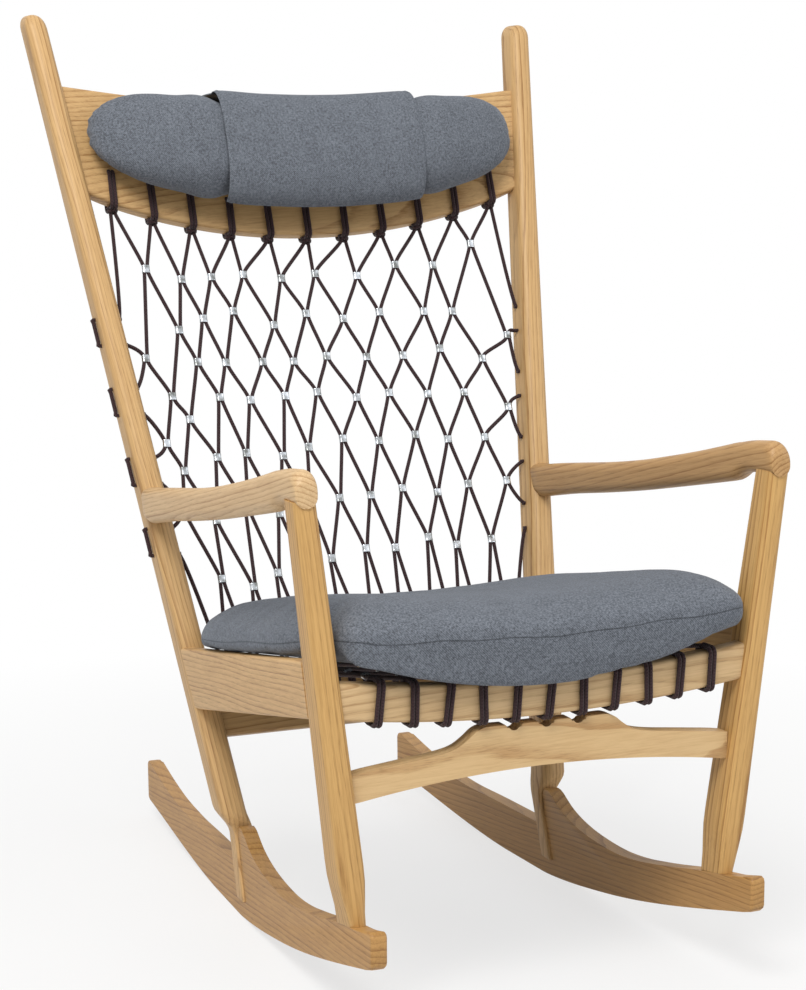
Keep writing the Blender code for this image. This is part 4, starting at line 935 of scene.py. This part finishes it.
def make_rear_rail():
    stations = []
    for side in (-1, 1):
        centre = on_rear_rail(side * (post_inner(REAR_RAIL_CENTRE) + 0.003))
        stations.append((centre, *leant(side * POST_SPLAY), RAIL_THICKNESS, REAR_RAIL_HEIGHT))
    grain = wood("rear_rail_wood", (1, 0.02, 0.03), at(0, 0.05, 0.2), 0.0055, tone=0.88, seed=0.45)
    rail("rear_seat_rail_wood", stations, 0.0040, grain, "rear_seat_rail")


def make_front_rail():
    stations = []
    end = leg_inner(FRONT_RAIL_CENTRE) + 0.004
    for i in range(49):
        x = mix(-end, end, i / 48)
        centre = at(x, FRONT_RAIL_REACH, front_rail_centre(x))
        along = Vector((LEG_SPLAY * x / end, 0, 1))
        stations.append((centre, BEHIND, along, RAIL_THICKNESS, FRONT_RAIL_HEIGHT))
    pith = at(0, 0.405, 0.300)
    grain = wood("front_rail_wood", (1, 0.02, 0.05), pith, 0.0060, RAIL_PALE_ASH, seed=0.5)
    rail("front_seat_rail_wood", stations, 0.0045, grain, "front_seat_rail")


STRETCHER_UNDER = 0.2435
STRETCHER_TOP = 0.2735
STRETCHER_CREST = 0.3095
STRETCHER_REACH = 0.46002


def stretcher_outline():
    """Front view: an arched bar whose raised middle holds three half-round notches."""
    end = leg_inner(STRETCHER_UNDER) + 0.002

    def arched(x, height):
        return x, height + 0.018 * (1 - (x / end) ** 2)

    outline = [arched(mix(-end, end, i / 48), STRETCHER_UNDER) for i in range(49)]
    outline.append((end, STRETCHER_TOP))
    crown = [arched(0.205, STRETCHER_TOP), arched(0.160, 0.2725), arched(0.128, 0.2728)]
    crown += [arched(0.106, 0.2755), (0.092, 0.2975), (0.082, 0.3055), (0.073, 0.3090)]
    crown.append((0.066, STRETCHER_CREST))
    upper = spread([(end, STRETCHER_TOP)] + crown, 42)[1:]
    outline += upper
    for middle in (0.038, 0.0, -0.038):
        outline += [(middle + 0.0102, STRETCHER_CREST), (middle + 0.0088, 0.3085)]
        for step in range(1, 12):
            angle = math.radians(15 * step)
            outline.append((middle + 0.008 * math.cos(angle), 0.3090 - 0.0078 * math.sin(angle)))
        outline += [(middle - 0.0088, 0.3085), (middle - 0.0102, STRETCHER_CREST)]
    outline += [(-x, z) for x, z in reversed(upper)]
    outline.append((-end, STRETCHER_TOP))
    return outline


def make_stretcher():
    def place(u, v, depth):
        return at(u, STRETCHER_REACH + depth, v)

    pith = at(0, 0.400, 0.262)
    grain = wood("stretcher_wood", (1, 0.03, 0.03), pith, 0.0085, STRETCHER_PALE_ASH, seed=0.7)
    name = "front_stretcher"
    board(name + "_wood", stretcher_outline(), place, 0.018, 0.0016, grain, name)


for label, side in SIDES:
    make_rocker(label, side)
    make_arm(label, side)
    make_side_rail(label, side)
make_top_rail()
make_rear_rail()
make_front_rail()
make_stretcher()
for label, _ in SIDES:
    for part in ("foot", "arm"):
        grain = wood(f"{part}_dowel_wood_{label}", ABOVE, (0.02, 0, 0), 0.003)
        dress(f"{part}_dowel_{label}", grain)

# Back net: clips row by row from the top, x and height in millimetres on the plane of the posts

CLIP_ROWS = {
    "A": (
        (-232, 762), (-187, 748), (-147, 750), (-104, 752), (-53, 746), (-6, 751), (52, 747),
        (108, 760), (162, 758), (222, 785),
    ),
    "B": (
        (-199, 686), (-165, 699), (-124, 707), (-72, 688), (-26, 701), (24, 693), (76, 700),
        (139, 699), (180, 698), (255, 665),
    ),
    "C": (
        (-247, 653), (-180, 646), (-143, 644), (-94, 643), (-52, 642), (-6, 647), (49, 644),
        (100, 644), (154, 651), (213, 636),
    ),
    "D": (
        (-219, 606), (-157, 602), (-117, 597), (-70, 600), (-26, 603), (27, 594), (73, 598),
        (127, 594), (179, 594), (240, 573),
    ),
    "E": (
        (-234, 550), (-200, 577), (-171, 530), (-132, 533), (-84, 527), (-48, 536), (0, 544),
        (49, 539), (101, 544), (146, 536), (199, 536),
    ),
    "F": (
        (-216, 516), (-183, 455), (-99, 458), (-16, 472), (27, 473), (72, 479), (120, 471),
        (165, 479), (221, 480),
    ),
    "G": (
        (-186, 386), (-146, 374), (-112, 388), (-38, 400), (10, 409), (50, 407), (98, 417),
        (136, 405), (186, 409),
    ),
    "H": (
        (-224, 470), (-141, 470), (-58, 470), (-75, 394),
    ),
}
TOP_LOOP_STEP = 0.0526
REAR_LOOP_STEP = 0.0392
FRONT_LOOP_STEP = 0.0389


def on_net(x, z):
    """The point of the hanging net that the camera sees at this place of the posts' plane."""
    start = Vector((x, FLOOR_LINE - post_reach(z), z))
    ray = start - CAMERA_PLACE
    reach = 1.0
    for _ in range(10):
        point = CAMERA_PLACE + ray * reach
        reach += (net_y(point.x, point.z) - point.y) / ray.y
    return CAMERA_PLACE + ray * reach


clips = {}
for row, places in CLIP_ROWS.items():
    for index, (x, z) in enumerate(places):
        clips[f"{row}{index}"] = on_net(x / 1000, z / 1000)

# Each line: the upper clip, then where its left and right cords go. P and Q are the posts.
CORDS = ["T0 P0 A0"] + [f"T{i} A{i - 1} A{i}" for i in range(1, 10)] + ["T10 A9 Q0"]
CORDS += ["A0 C0 B0"] + [f"A{i} B{i - 1} B{i}" for i in range(1, 10)]
CORDS += ["P0 - C0", "B0 D0 C1"] + [f"B{i} C{i} C{i + 1}" for i in range(1, 9)]
CORDS += ["Q0 B9 -", "B9 C9 Q1", "C0 P1 D0", "C1 E1 D1"]
CORDS += [f"C{i} D{i - 1} D{i}" for i in range(2, 10)]
CORDS += ["Q1 D9 -", "P1 - E0", "D0 E0 E1"] + [f"D{i} E{i + 1} E{i + 2}" for i in range(1, 9)]
CORDS += ["D9 E10 Q2", "E0 P2 F0", "E1 F0 E2", "E2 F1 H1", "E3 H1 F2", "E4 F2 H2", "E5 H2 F3"]
CORDS += [f"E{i} F{i - 3} F{i - 2}" for i in range(6, 11)]
CORDS += ["P2 - H0", "F0 H0 F1", "H0 P3 G0", "F1 G0 G1", "H1 G1 G2", "F2 G2 H3", "H2 H3 G3"]
CORDS += [f"F{i} G{i} G{i + 1}" for i in range(3, 8)] + ["Q2 F8 -", "F8 G8 Q3"]
FEET = ["G0", "G1", "G2", "H3", "G3", "G4", "G5", "G6", "G7", "G8"]

net = Tubes()
clip_form = bmesh.new()


def stitch_mouth(side, index, lower):
    """Where a side cord goes into the post's inner face, or comes out of it again."""
    z = STITCH_LEVELS[index] + (-STITCH_HALF if lower else STITCH_HALF)
    return at(side * (post_inner(z) - 0.001), post_reach(z), z)


def top_knot(column):
    x = column * TOP_LOOP_STEP
    bottom = top_rail_span(x)[0] - 0.0065
    return on_top_rail(x, bottom)


def cord_end(name, side_cord, leaving):
    """Point of a cord at a clip, knot or post, and the way in which it leaves or arrives there."""
    letter, index = name[0], int(name[1:])
    if letter == "T":
        return top_knot(index - 5) + ACROSS * (KNOT_SPREAD * side_cord), -UPWARD
    if letter in "PQ":
        side = -1 if letter == "P" else 1
        return stitch_mouth(side, index, leaving), ACROSS * side * (-1 if leaving else 1)
    along = 0.0040 if leaving else -0.0040
    return clips[name] + ACROSS * (CLIP_SPREAD * side_cord) - UPWARD * along, -UPWARD


def taut(a, a_way, b, b_way, count=14, stiff=0.0085):
    """A cord pulled straight from a to b, with a short bend where each end is held."""
    straight = (b - a).normalized()
    a_run = (a_way * 0.5 + straight * 0.5) * stiff
    b_run = (b_way * 0.5 + straight * 0.5) * stiff
    return curve_between(a, a_run, b, b_run, count)


for line in CORDS:
    start, left, right = line.split()
    for goal, side_cord in ((left, -1), (right, 1)):
        if goal == "-":
            continue
        a, a_way = cord_end(start, side_cord, True)
        b, b_way = cord_end(goal, -side_cord, False)
        net.add(taut(a, a_way, b, b_way))

rear_top = REAR_RAIL_CENTRE + REAR_RAIL_HEIGHT / 2 / LEAN_LENGTH


def rear_foot(x):
    return at(x, post_reach(rear_top), rear_top) + UPWARD * 0.003


for order, name in enumerate(FEET):
    for side_cord in (-1, 1):
        column = order - 5 + (0.5 + 0.5 * side_cord)
        foot = rear_foot(column * REAR_LOOP_STEP - side_cord * KNOT_SPREAD)
        a, a_way = cord_end(name, side_cord, True)
        net.add(taut(a, a_way, foot, -UPWARD, stiff=0.010))
for side, letter in ((-1, "P"), (1, "Q")):
    a, a_way = cord_end(letter + "3", 0, True)
    foot = rear_foot(side * (5 * REAR_LOOP_STEP + KNOT_SPREAD))
    net.add(taut(a, a_way, foot, -UPWARD, 16, 0.012))
    for index, level in enumerate(STITCH_LEVELS):
        top, low = level + STITCH_HALF, level - STITCH_HALF
        line = []
        # Height and share of the post's width: through the post, down its outside and back
        stops = ((top, -0.004), (top, 0.5), (top, 1.0), (mix(top, low, 0.12), 1.0), (level, 1.0))
        stops += ((mix(top, low, 0.88), 1.0), (low, 1.0), (low, 0.5), (low, -0.004))
        for z, out in stops:
            width = post_size(z)[0]
            x = post_x(z) - width / 2 + (width + CORD_RADIUS + 0.0006) * max(out, 0) + min(out, 0)
            line.append(at(side * x, post_reach(z), z))
        net.add(through(line))


def wrap(tubes, centre, height, slant=0.0, across=OUTWARD, along=UPWARD):
    """One turn of cord round a rail's section."""
    lift = CORD_RADIUS + 0.0007
    path = []
    size = (RAIL_THICKNESS + 2 * lift, height + 2 * lift)
    for u, v in rounded_rectangle(*size, 0.004 + CORD_RADIUS):
        path.append(centre + across * u + along * v + ACROSS * slant * v)
    tubes.add(path, closed=True)


def wrap_rear(tubes, x):
    """A pair of turns round the upper part of the rear rail."""
    centre = on_rear_rail(x) + UPWARD * (REAR_RAIL_HEIGHT / 2 - REAR_LOOP_HEIGHT / 2)
    for offset in (-CORD_SPREAD, CORD_SPREAD):
        wrap(tubes, centre + ACROSS * offset, REAR_LOOP_HEIGHT)


def knot(tubes, centre, width, seed):
    """Two tight turns round a pair of cords, with a short tail behind."""
    rng = random.Random(seed)
    for turn in (-1, 1):
        path = []
        tilt = rng.uniform(-0.16, 0.16)
        for i in range(16):
            angle = 2 * math.pi * i / 16
            u = (width / 2 - CORD_RADIUS) * math.cos(angle)
            v = 0.0052 * math.sin(angle)
            rise = turn * 0.0021 + tilt * u + 0.0008 * math.sin(2 * angle)
            path.append(centre + ACROSS * u + OUTWARD * v + UPWARD * rise)
        tubes.add(path, CORD_RADIUS * 0.98, closed=True)


loops = Tubes()
for column in range(-5, 6):
    x = column * TOP_LOOP_STEP
    centre = on_top_rail(x, top_rail_span(x)[0]) + UPWARD * (TOP_LOOP_HEIGHT / 2)
    slope = 2 * TOP_RAIL_BOTTOM_RISE * x / post_x(HEAD_CENTRE) ** 2
    height = TOP_LOOP_HEIGHT + abs(slope * 0.006)
    for offset in (-CORD_SPREAD, CORD_SPREAD):
        shift = UPWARD * (slope * offset * 0.5)
        wrap(loops, centre + ACROSS * offset + shift, height, 0.02 * math.sin(column * 2.1))
    knot(loops, top_knot(column) + UPWARD * 0.003, 0.0145, 100 + column)
    wrap_rear(loops, column * REAR_LOOP_STEP)


# Along the sleeve and out from its side
CLIP_PROFILE = (
    (-0.5, -0.0009), (-0.5, -0.0002), (-0.44, 0.0), (-0.36, -0.0001), (0.0, -0.00035),
    (0.36, -0.0001), (0.44, 0.0), (0.5, -0.0002), (0.5, -0.0009),
)
CLIP_BORE = ((0.49, -0.0011), (-0.49, -0.0011))
CLIP_LENGTH = 0.0096
CLIP_WIDTH = 0.0106
CLIP_THICKNESS = 0.0062
CLIP_CORNER = 0.0030


def add_clip(form, centre, run, seed):
    """A short oval sleeve pressed round two cords, with rolled ends."""
    rng = random.Random(seed)
    run = run.normalized()
    side = (ACROSS + run * rng.uniform(-0.06, 0.06)).normalized()
    side = (side - run * side.dot(run)).normalized()
    deep = run.cross(side).normalized()
    length = CLIP_LENGTH + rng.uniform(-0.0004, 0.0004)
    rings = []
    for place, grow in CLIP_PROFILE + CLIP_BORE:
        size = (CLIP_WIDTH + 2 * grow, CLIP_THICKNESS + 2 * grow)
        points = rounded_rectangle(*size, CLIP_CORNER + grow)
        rings.append(ring(centre + run * (length * place), side, deep, points))
    loft_into(form, rings, closed=True)


for number, (name, centre) in enumerate(clips.items()):
    add_clip(clip_form, centre, UPWARD, 500 + number)

show("back_net_cords", net.mesh("back_net_cords"), cord_material, "back_net")
show("back_net_loops", loops.mesh("back_net_loops"), cord_material, "back_net")
show("back_net_clips", mesh_from("back_net_clips", clip_form, 60), clip_material, "back_net")

# Seat deck

DECK_ROWS = (0.395, 0.295, 0.190, 0.085)
DECK_RISE = 0.0045
OVER_FRONT_RAIL = 0.0031
OVER_REAR_RAIL = 0.0022
FRONT_LOOP_SLANT = (0.10, 0.02, 0.12, -0.03, 0.07, 0.11, 0.01, 0.09, -0.02, 0.08, 0.05)


def deck_height(x, reach):
    front = front_rail_centre(x) + FRONT_RAIL_HEIGHT / 2
    rear = REAR_RAIL_CENTRE + REAR_RAIL_HEIGHT / 2
    return mix(rear, front, reach / FRONT_RAIL_REACH) + DECK_RISE


def deck_point(row, place):
    reach = DECK_ROWS[row]
    width = mix(5 * REAR_LOOP_STEP, 5 * FRONT_LOOP_STEP, reach / FRONT_RAIL_REACH)
    x = place / 5 * width
    return at(x, reach, deck_height(x, reach))


def pull(start, goal):
    deck.add(curve_between(start, BEHIND * 0.012, goal, BEHIND * 0.012, 10))


deck = Tubes()
deck_form = bmesh.new()
rear_z = REAR_RAIL_CENTRE + REAR_RAIL_HEIGHT / 2 + OVER_REAR_RAIL
for row in range(4):
    count = 10 if row % 2 == 0 else 9
    for i in range(count):
        add_clip(deck_form, deck_point(row, i - (count - 1) / 2), BEHIND, 900 + row * 20 + i)
for column in range(-5, 6):
    x = column * FRONT_LOOP_STEP
    centre = at(x, FRONT_RAIL_REACH, front_rail_centre(x))
    start = centre + BEHIND * 0.004 + ABOVE * (FRONT_RAIL_HEIGHT / 2 + OVER_FRONT_RAIL)
    for direction in (-1, 1):
        if direction * column > 4:
            continue
        point = start + ACROSS * (CORD_SPREAD * direction)
        for row in range(4):
            if row % 2 == 0:
                goal = deck_point(row, column + direction / 2) - ACROSS * (CLIP_SPREAD * direction)
            elif abs(column) == 5:
                goal = deck_point(row, column * 0.93)
            else:
                goal = deck_point(row, column) + ACROSS * (CLIP_SPREAD * direction)
            pull(point, goal)
            point = goal
        foot_x = (column + direction / 2) * REAR_LOOP_STEP
        pull(point, at(foot_x - CLIP_SPREAD * direction, post_reach(rear_z) + 0.004, rear_z))
    slope = 2 * FRONT_RAIL_SAG * x / leg_x(FRONT_RAIL_CENTRE) ** 2
    for offset in (-CORD_SPREAD, CORD_SPREAD):
        turn = centre + ACROSS * offset + ABOVE * (slope * offset)
        wrap(deck, turn, FRONT_RAIL_HEIGHT, FRONT_LOOP_SLANT[column + 5], -BEHIND, ABOVE)
for i in range(10):
    wrap_rear(deck, (i - 4.5) * REAR_LOOP_STEP)
show("seat_deck_cords", deck.mesh("seat_deck_cords"), cord_material, "seat_deck")
show("seat_deck_clips", mesh_from("seat_deck_clips", deck_form, 60), clip_material, "seat_deck")

# Soft parts


CLOTH_CAP = 0.005
CLOTH_FRAMES = 20


def simulate(piece, voxel):
    """Swells a closed form with air pressure as cloth, each point within a cap of its start."""
    remesh = piece.modifiers.new("remesh", "REMESH")
    remesh.mode = "VOXEL"
    remesh.voxel_size = voxel
    bpy.context.view_layer.update()
    piece.data = settled(piece)
    start = [v.co.copy() for v in piece.data.vertices]
    swell = piece.modifiers.new("cloth", "CLOTH")
    settings = swell.settings
    settings.quality = 6
    settings.mass = 0.25
    settings.tension_stiffness = 18
    settings.compression_stiffness = 18
    settings.shear_stiffness = 8
    settings.bending_stiffness = 0.6
    settings.use_pressure = True
    settings.uniform_pressure_force = 4.0
    settings.effector_weights.gravity = 0.0
    swell.collision_settings.use_self_collision = False
    swell.point_cache.frame_start = 1
    swell.point_cache.frame_end = CLOTH_FRAMES
    scene = bpy.context.scene
    for number in range(1, CLOTH_FRAMES + 1):
        scene.frame_set(number)
    piece.data = settled(piece)
    scene.frame_set(1)
    for vertex, was in zip(piece.data.vertices, start):
        step = vertex.co - was
        if step.length > CLOTH_CAP:
            vertex.co = was + step * (CLOTH_CAP / step.length)


def settled(piece):
    """The mesh that the modifiers make of a piece, which then loses them."""
    graph = bpy.context.evaluated_depsgraph_get()
    mesh = bpy.data.meshes.new_from_object(piece.evaluated_get(graph))
    piece.modifiers.clear()
    return mesh


def swollen(name, form, voxel):
    piece = put(name, mesh_from(name, form, 180))
    simulate(piece, voxel)
    return piece


def cover(piece, material, body):
    """Rounds off a cushion, attaches it to its body and hides the node of that name."""
    rounder = piece.modifiers.new("round", "SUBSURF")
    rounder.levels = rounder.render_levels = 1
    piece.data.shade_smooth()
    piece.data.materials.clear()
    piece.data.materials.append(material)
    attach(piece, body)
    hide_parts(body)


SEAT_REAR = -0.014
SEAT_FRONT = 0.500
SEAT_MIDDLE = (SEAT_FRONT + SEAT_REAR) / 2
SEAT_HALF = 0.264
SEAT_FRONT_HALF = 0.2412
SEAT_ROUNDNESS = 12  # power of the outline seen from above
SEAT_BODY = 0.043  # from the deck to the level that the crown stands on
SEAT_CROWN = 0.031
SEAM_LOW = 0.014
SEAM_HIGH = 0.038
LIP_DROP = 0.0145
LIP_REACH = 0.474
LEG_ZONE = (0.425, 0.492)


def rail_inner(reach):
    return mix(0.2305, 0.2433, (reach + 0.0105) / 0.4490)


def seat_under(x, reach):
    middle = deck_height(0, reach) + CORD_RADIUS + 0.0009
    side_top = SIDE_RAIL_TOP + SIDE_RAIL_RISE * reach + 0.0009
    return mix(middle, max(side_top, middle), min(1.0, abs(x) / rail_inner(reach)) ** 2)


def seat_lip(x, reach):
    """The cushion's front edge hangs a little in front of the rail."""
    drop = LIP_DROP - (0.010 if x < 0 else 0.019) * min(1.0, abs(x) / 0.20) ** 2
    return seat_under(x, reach) - drop * smooth((reach - 0.4825) / 0.006)


def seat_half(reach):
    half = mix(SEAT_HALF, SEAT_FRONT_HALF, smooth((reach - 0.36) / 0.08))
    return half * mix(0.875, 1.0, smooth((reach - SEAT_REAR) / 0.14))


def seat_share(x, reach):
    """0 at the cushion's middle and 1 at its rim, seen from above."""
    u = abs(x) / seat_half(reach)
    v = abs(reach - SEAT_MIDDLE) / (SEAT_FRONT - SEAT_MIDDLE)
    return (u**SEAT_ROUNDNESS + v**SEAT_ROUNDNESS) ** (1 / SEAT_ROUNDNESS)


def seat_outline(angle):
    power, inset = 2 / SEAT_ROUNDNESS, 0.001
    c, s = math.cos(angle), math.sin(angle)
    u = math.copysign(abs(c) ** power, c)
    v = math.copysign(abs(s) ** power, s)
    reach = mix(SEAT_REAR + inset, SEAT_FRONT - inset, (v + 1) / 2)
    return u * (seat_half(reach) - inset), reach


def seat_seam(x, reach):
    """Height of the seam where the rim is at x and reach."""
    middle = 1 - min(1.0, abs(x) / SEAT_HALF) ** 2
    wave = 0.0011 * math.sin(31 * x + 9 * reach) + 0.0008 * math.sin(73 * x - 40 * reach)
    return seat_under(x, reach) + mix(SEAM_LOW, SEAM_HIGH, middle) + wave


def fit_rim(vertices):
    """Moves the swollen form's rim back onto the outline, seen from above."""
    bins = 90
    widest = [0.0] * bins
    places = []
    for vertex in vertices:
        x, reach = vertex.co.x, FLOOR_LINE - vertex.co.y
        turn = math.atan2((reach - SEAT_MIDDLE) / (SEAT_FRONT - SEAT_MIDDLE), x / SEAT_HALF)
        share = seat_share(x, reach)
        place = (turn / (2 * math.pi) % 1.0) * bins
        places.append((place, share))
        widest[int(place) % bins] = max(widest[int(place) % bins], share)
    even = [(widest[k - 1] + 2 * widest[k] + widest[(k + 1) % bins]) / 4 for k in range(bins)]
    for vertex, (place, share) in zip(vertices, places):
        spot = place - 0.5
        k = math.floor(spot)
        here = mix(even[k % bins], even[(k + 1) % bins], spot - k)
        grow = 1 + (1 / here - 1) * min(1.0, share / here) ** 2
        vertex.co.x *= grow
        vertex.co.y = FLOOR_LINE - SEAT_MIDDLE - (FLOOR_LINE - vertex.co.y - SEAT_MIDDLE) * grow


def make_seat_cushion():
    form = bmesh.new()
    bmesh.ops.create_uvsphere(form, u_segments=144, v_segments=48, radius=1.0)
    for vertex in form.verts:
        # The ball's height tells upper from lower side, its plan how far out the point lies
        lift = vertex.co.z
        edge_x, edge_reach = seat_outline(math.atan2(vertex.co.y, vertex.co.x))
        out = min(1.0, math.hypot(vertex.co.x, vertex.co.y))
        plan = out ** (0.52 if lift > 0 else 0.24)
        x = edge_x * plan
        reach = SEAT_MIDDLE + (edge_reach - SEAT_MIDDLE) * plan
        rim = seat_seam(edge_x, edge_reach)
        if lift >= 0:
            seam = mix(seat_under(x, reach) + SEAT_BODY, rim, plan**3)
            z = seam + SEAT_CROWN * lift**0.62
        else:
            z = mix(rim, seat_lip(x, reach) + 0.0006, min(1.0, -lift) ** 0.36)
        vertex.co = at(x, reach, z)
    piece = swollen("seat_cushion_cloth", form, 0.006)
    fit_rim(piece.data.vertices)
    for vertex in piece.data.vertices:
        co = vertex.co
        reach = FLOOR_LINE - co.y
        pucker = noise.noise(Vector((co.x * 16, co.y * 16, 1.3))) * 0.0012
        pucker += noise.noise(Vector((co.x * 45, co.y * 45, 4.1))) * 0.0004
        below = max(0.0, seat_seam(co.x, reach) - co.z)
        outer = min(1.0, max(0.0, -co.x) / 0.20) ** 2
        co.z -= below * (0.50 + 1.5 * outer) * smooth((reach - LIP_REACH) / 0.012)
        co.z = max(co.z + pucker, seat_lip(co.x, reach))
        inner = leg_inner(co.z) - 0.0012
        if LEG_ZONE[0] < reach < LEG_ZONE[1]:
            co.x = max(-inner, min(inner, co.x))
    seam = piece.data.attributes.new("seam", "FLOAT", "POINT")
    for index, vertex in enumerate(piece.data.vertices):
        co = vertex.co
        reach = FLOOR_LINE - co.y
        near = seat_share(co.x, reach) > 0.90
        seam.data[index].value = co.z - seat_seam(co.x, reach) if near else 1.0
    cover(piece, seat_material, "seat_cushion")


HEAD_HALF = 0.290
HEAD_DEPTH = 0.076
HEAD_HALF_HEIGHT = 0.073
HEAD_STAND_OFF = 0.0184
HEAD_FINAL_HALF = 0.2915
SADDLE_HALF = 0.135
SADDLE_SHIFT = 0.009


def head_fill(x):
    return max(0.0, 1 - (abs(x) / HEAD_HALF) ** 5) ** 0.5


def behind_head(x):
    """The rail's point behind the middle of the head cushion at x."""
    return on_top_rail(x, HEAD_CENTRE - 0.0085 + 0.30 * x * x)


def head_point(x, degrees, away=0.0):
    """A point on the head cushion's skin: 0 degrees faces forward, 90 up the back."""
    fill = head_fill(x)
    angle = math.radians(degrees)
    c, s = math.cos(angle), math.sin(angle)
    front = HEAD_DEPTH * fill * (0.5 + 0.5 * math.copysign(abs(c) ** 0.8, c))
    up = HEAD_HALF_HEIGHT * fill * math.copysign(abs(s) ** 0.9, s)
    skin = behind_head(x) + OUTWARD * (HEAD_STAND_OFF + front) + UPWARD * up
    return skin + (OUTWARD * c + UPWARD * s) * away


def make_head_cushion():
    form = bmesh.new()
    bmesh.ops.create_uvsphere(form, u_segments=80, v_segments=110, radius=1.0)
    for vertex in form.verts:
        x = (HEAD_HALF - 0.004) * math.copysign(min(1.0, abs(vertex.co.z)), vertex.co.z)
        degrees = math.degrees(math.atan2(vertex.co.y, vertex.co.x))
        vertex.co = head_point(x, degrees, -0.003)
    piece = swollen("head_cushion_cloth", form, 0.005)
    longest = max(abs(vertex.co.x) for vertex in piece.data.vertices)
    for vertex in piece.data.vertices:
        co = vertex.co
        co.x *= HEAD_FINAL_HALF / longest
        beside = abs(co.x - SADDLE_SHIFT) - SADDLE_HALF
        held = 1 - smooth((beside + 0.010) / 0.022)
        bulge = math.exp(-(((beside - 0.026) / 0.020) ** 2)) * 0.0035
        away = co - (behind_head(co.x) + OUTWARD * (HEAD_STAND_OFF + HEAD_DEPTH / 2))
        away.x = 0.0
        if away.length > 0.01:
            co += away.normalized() * (bulge - 0.0052 * held)
        gather = smooth((abs(co.x) - 0.245) / 0.035)
        turn = math.atan2(away.dot(UPWARD), away.dot(OUTWARD))
        folds = math.sin(turn * 15 + 2 * math.sin(turn * 3))
        co.x += 0.0016 * gather * folds * math.copysign(1, co.x)
    cover(piece, cloth_material, "head_cushion")


def saddle_line(x):
    """The saddle's inner side at x: up the cushion's front, over the rail's top and down behind."""
    points = [head_point(x, degrees, 0.0012) for degrees in range(-84, 91, 6)]
    top = top_rail_span(x)[1]
    crest = on_top_rail(x, top)
    rise = max(0.0060, (points[-1] - crest).dot(UPWARD) - 0.003)
    points.append(crest + OUTWARD * 0.0100 + UPWARD * rise)
    points.append(crest - OUTWARD * 0.0060 + UPWARD * 0.0052)
    points.append(crest - OUTWARD * 0.0130 + UPWARD * 0.0020)
    points += [crest - OUTWARD * 0.0138 - UPWARD * drop for drop in (0.010, 0.025, 0.040)]
    return through(points)


def make_saddle():
    """A band of cloth with a folded hem at both sides, down to the counterweight's pocket."""
    rings = []
    for i in range(65):
        place = mix(-SADDLE_HALF, SADDLE_HALF, i / 64)
        x = place + SADDLE_SHIFT
        inner = saddle_line(x)
        hem = min(1.0, (SADDLE_HALF - abs(place)) / 0.0025)
        thick = 0.0028 * math.sqrt(max(0.08, hem))
        fold = 0.0006 * math.exp(-(((SADDLE_HALF - abs(place) - 0.007) / 0.0018) ** 2))
        outer = []
        for j, point in enumerate(inner):
            run = (inner[min(len(inner) - 1, j + 1)] - inner[max(0, j - 1)]).normalized()
            away = run.cross(ACROSS).normalized()
            ripple = 0.0005 * noise.noise(Vector((x * 26, j * 0.10, 7.7)))
            outer.append(point - away * (thick - fold + ripple))
        rings.append(inner + list(reversed(outer)))
    band = "head_cushion_saddle"
    loft(band + "_cloth", rings, cloth_material, band, "head_cushion", 60)


def make_counterweight():
    rings = []
    for i in range(49):
        share = i / 48
        x = mix(-SADDLE_HALF, SADDLE_HALF, share) + SADDLE_SHIFT
        end = min(1.0, math.sqrt(max(0.02, 1 - (abs(2 * share - 1)) ** 14)))
        tail = saddle_line(x)[-1]
        centre = tail - UPWARD * 0.0173 - OUTWARD * 0.0077
        sag = 0.0007 * math.sin(9 * x * 6.28)
        height = (0.0340 + sag) * mix(0.9, 1.0, end)
        points = rounded_rectangle(0.0163 * end, height, 0.0065 * end)
        rings.append(ring(centre, -OUTWARD, UPWARD, points))
    bar = "head_counterweight"
    loft(bar + "_cloth", rings, cloth_material, bar, "head_cushion", 60)


make_seat_cushion()
make_head_cushion()
make_saddle()
make_counterweight()

low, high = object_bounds()
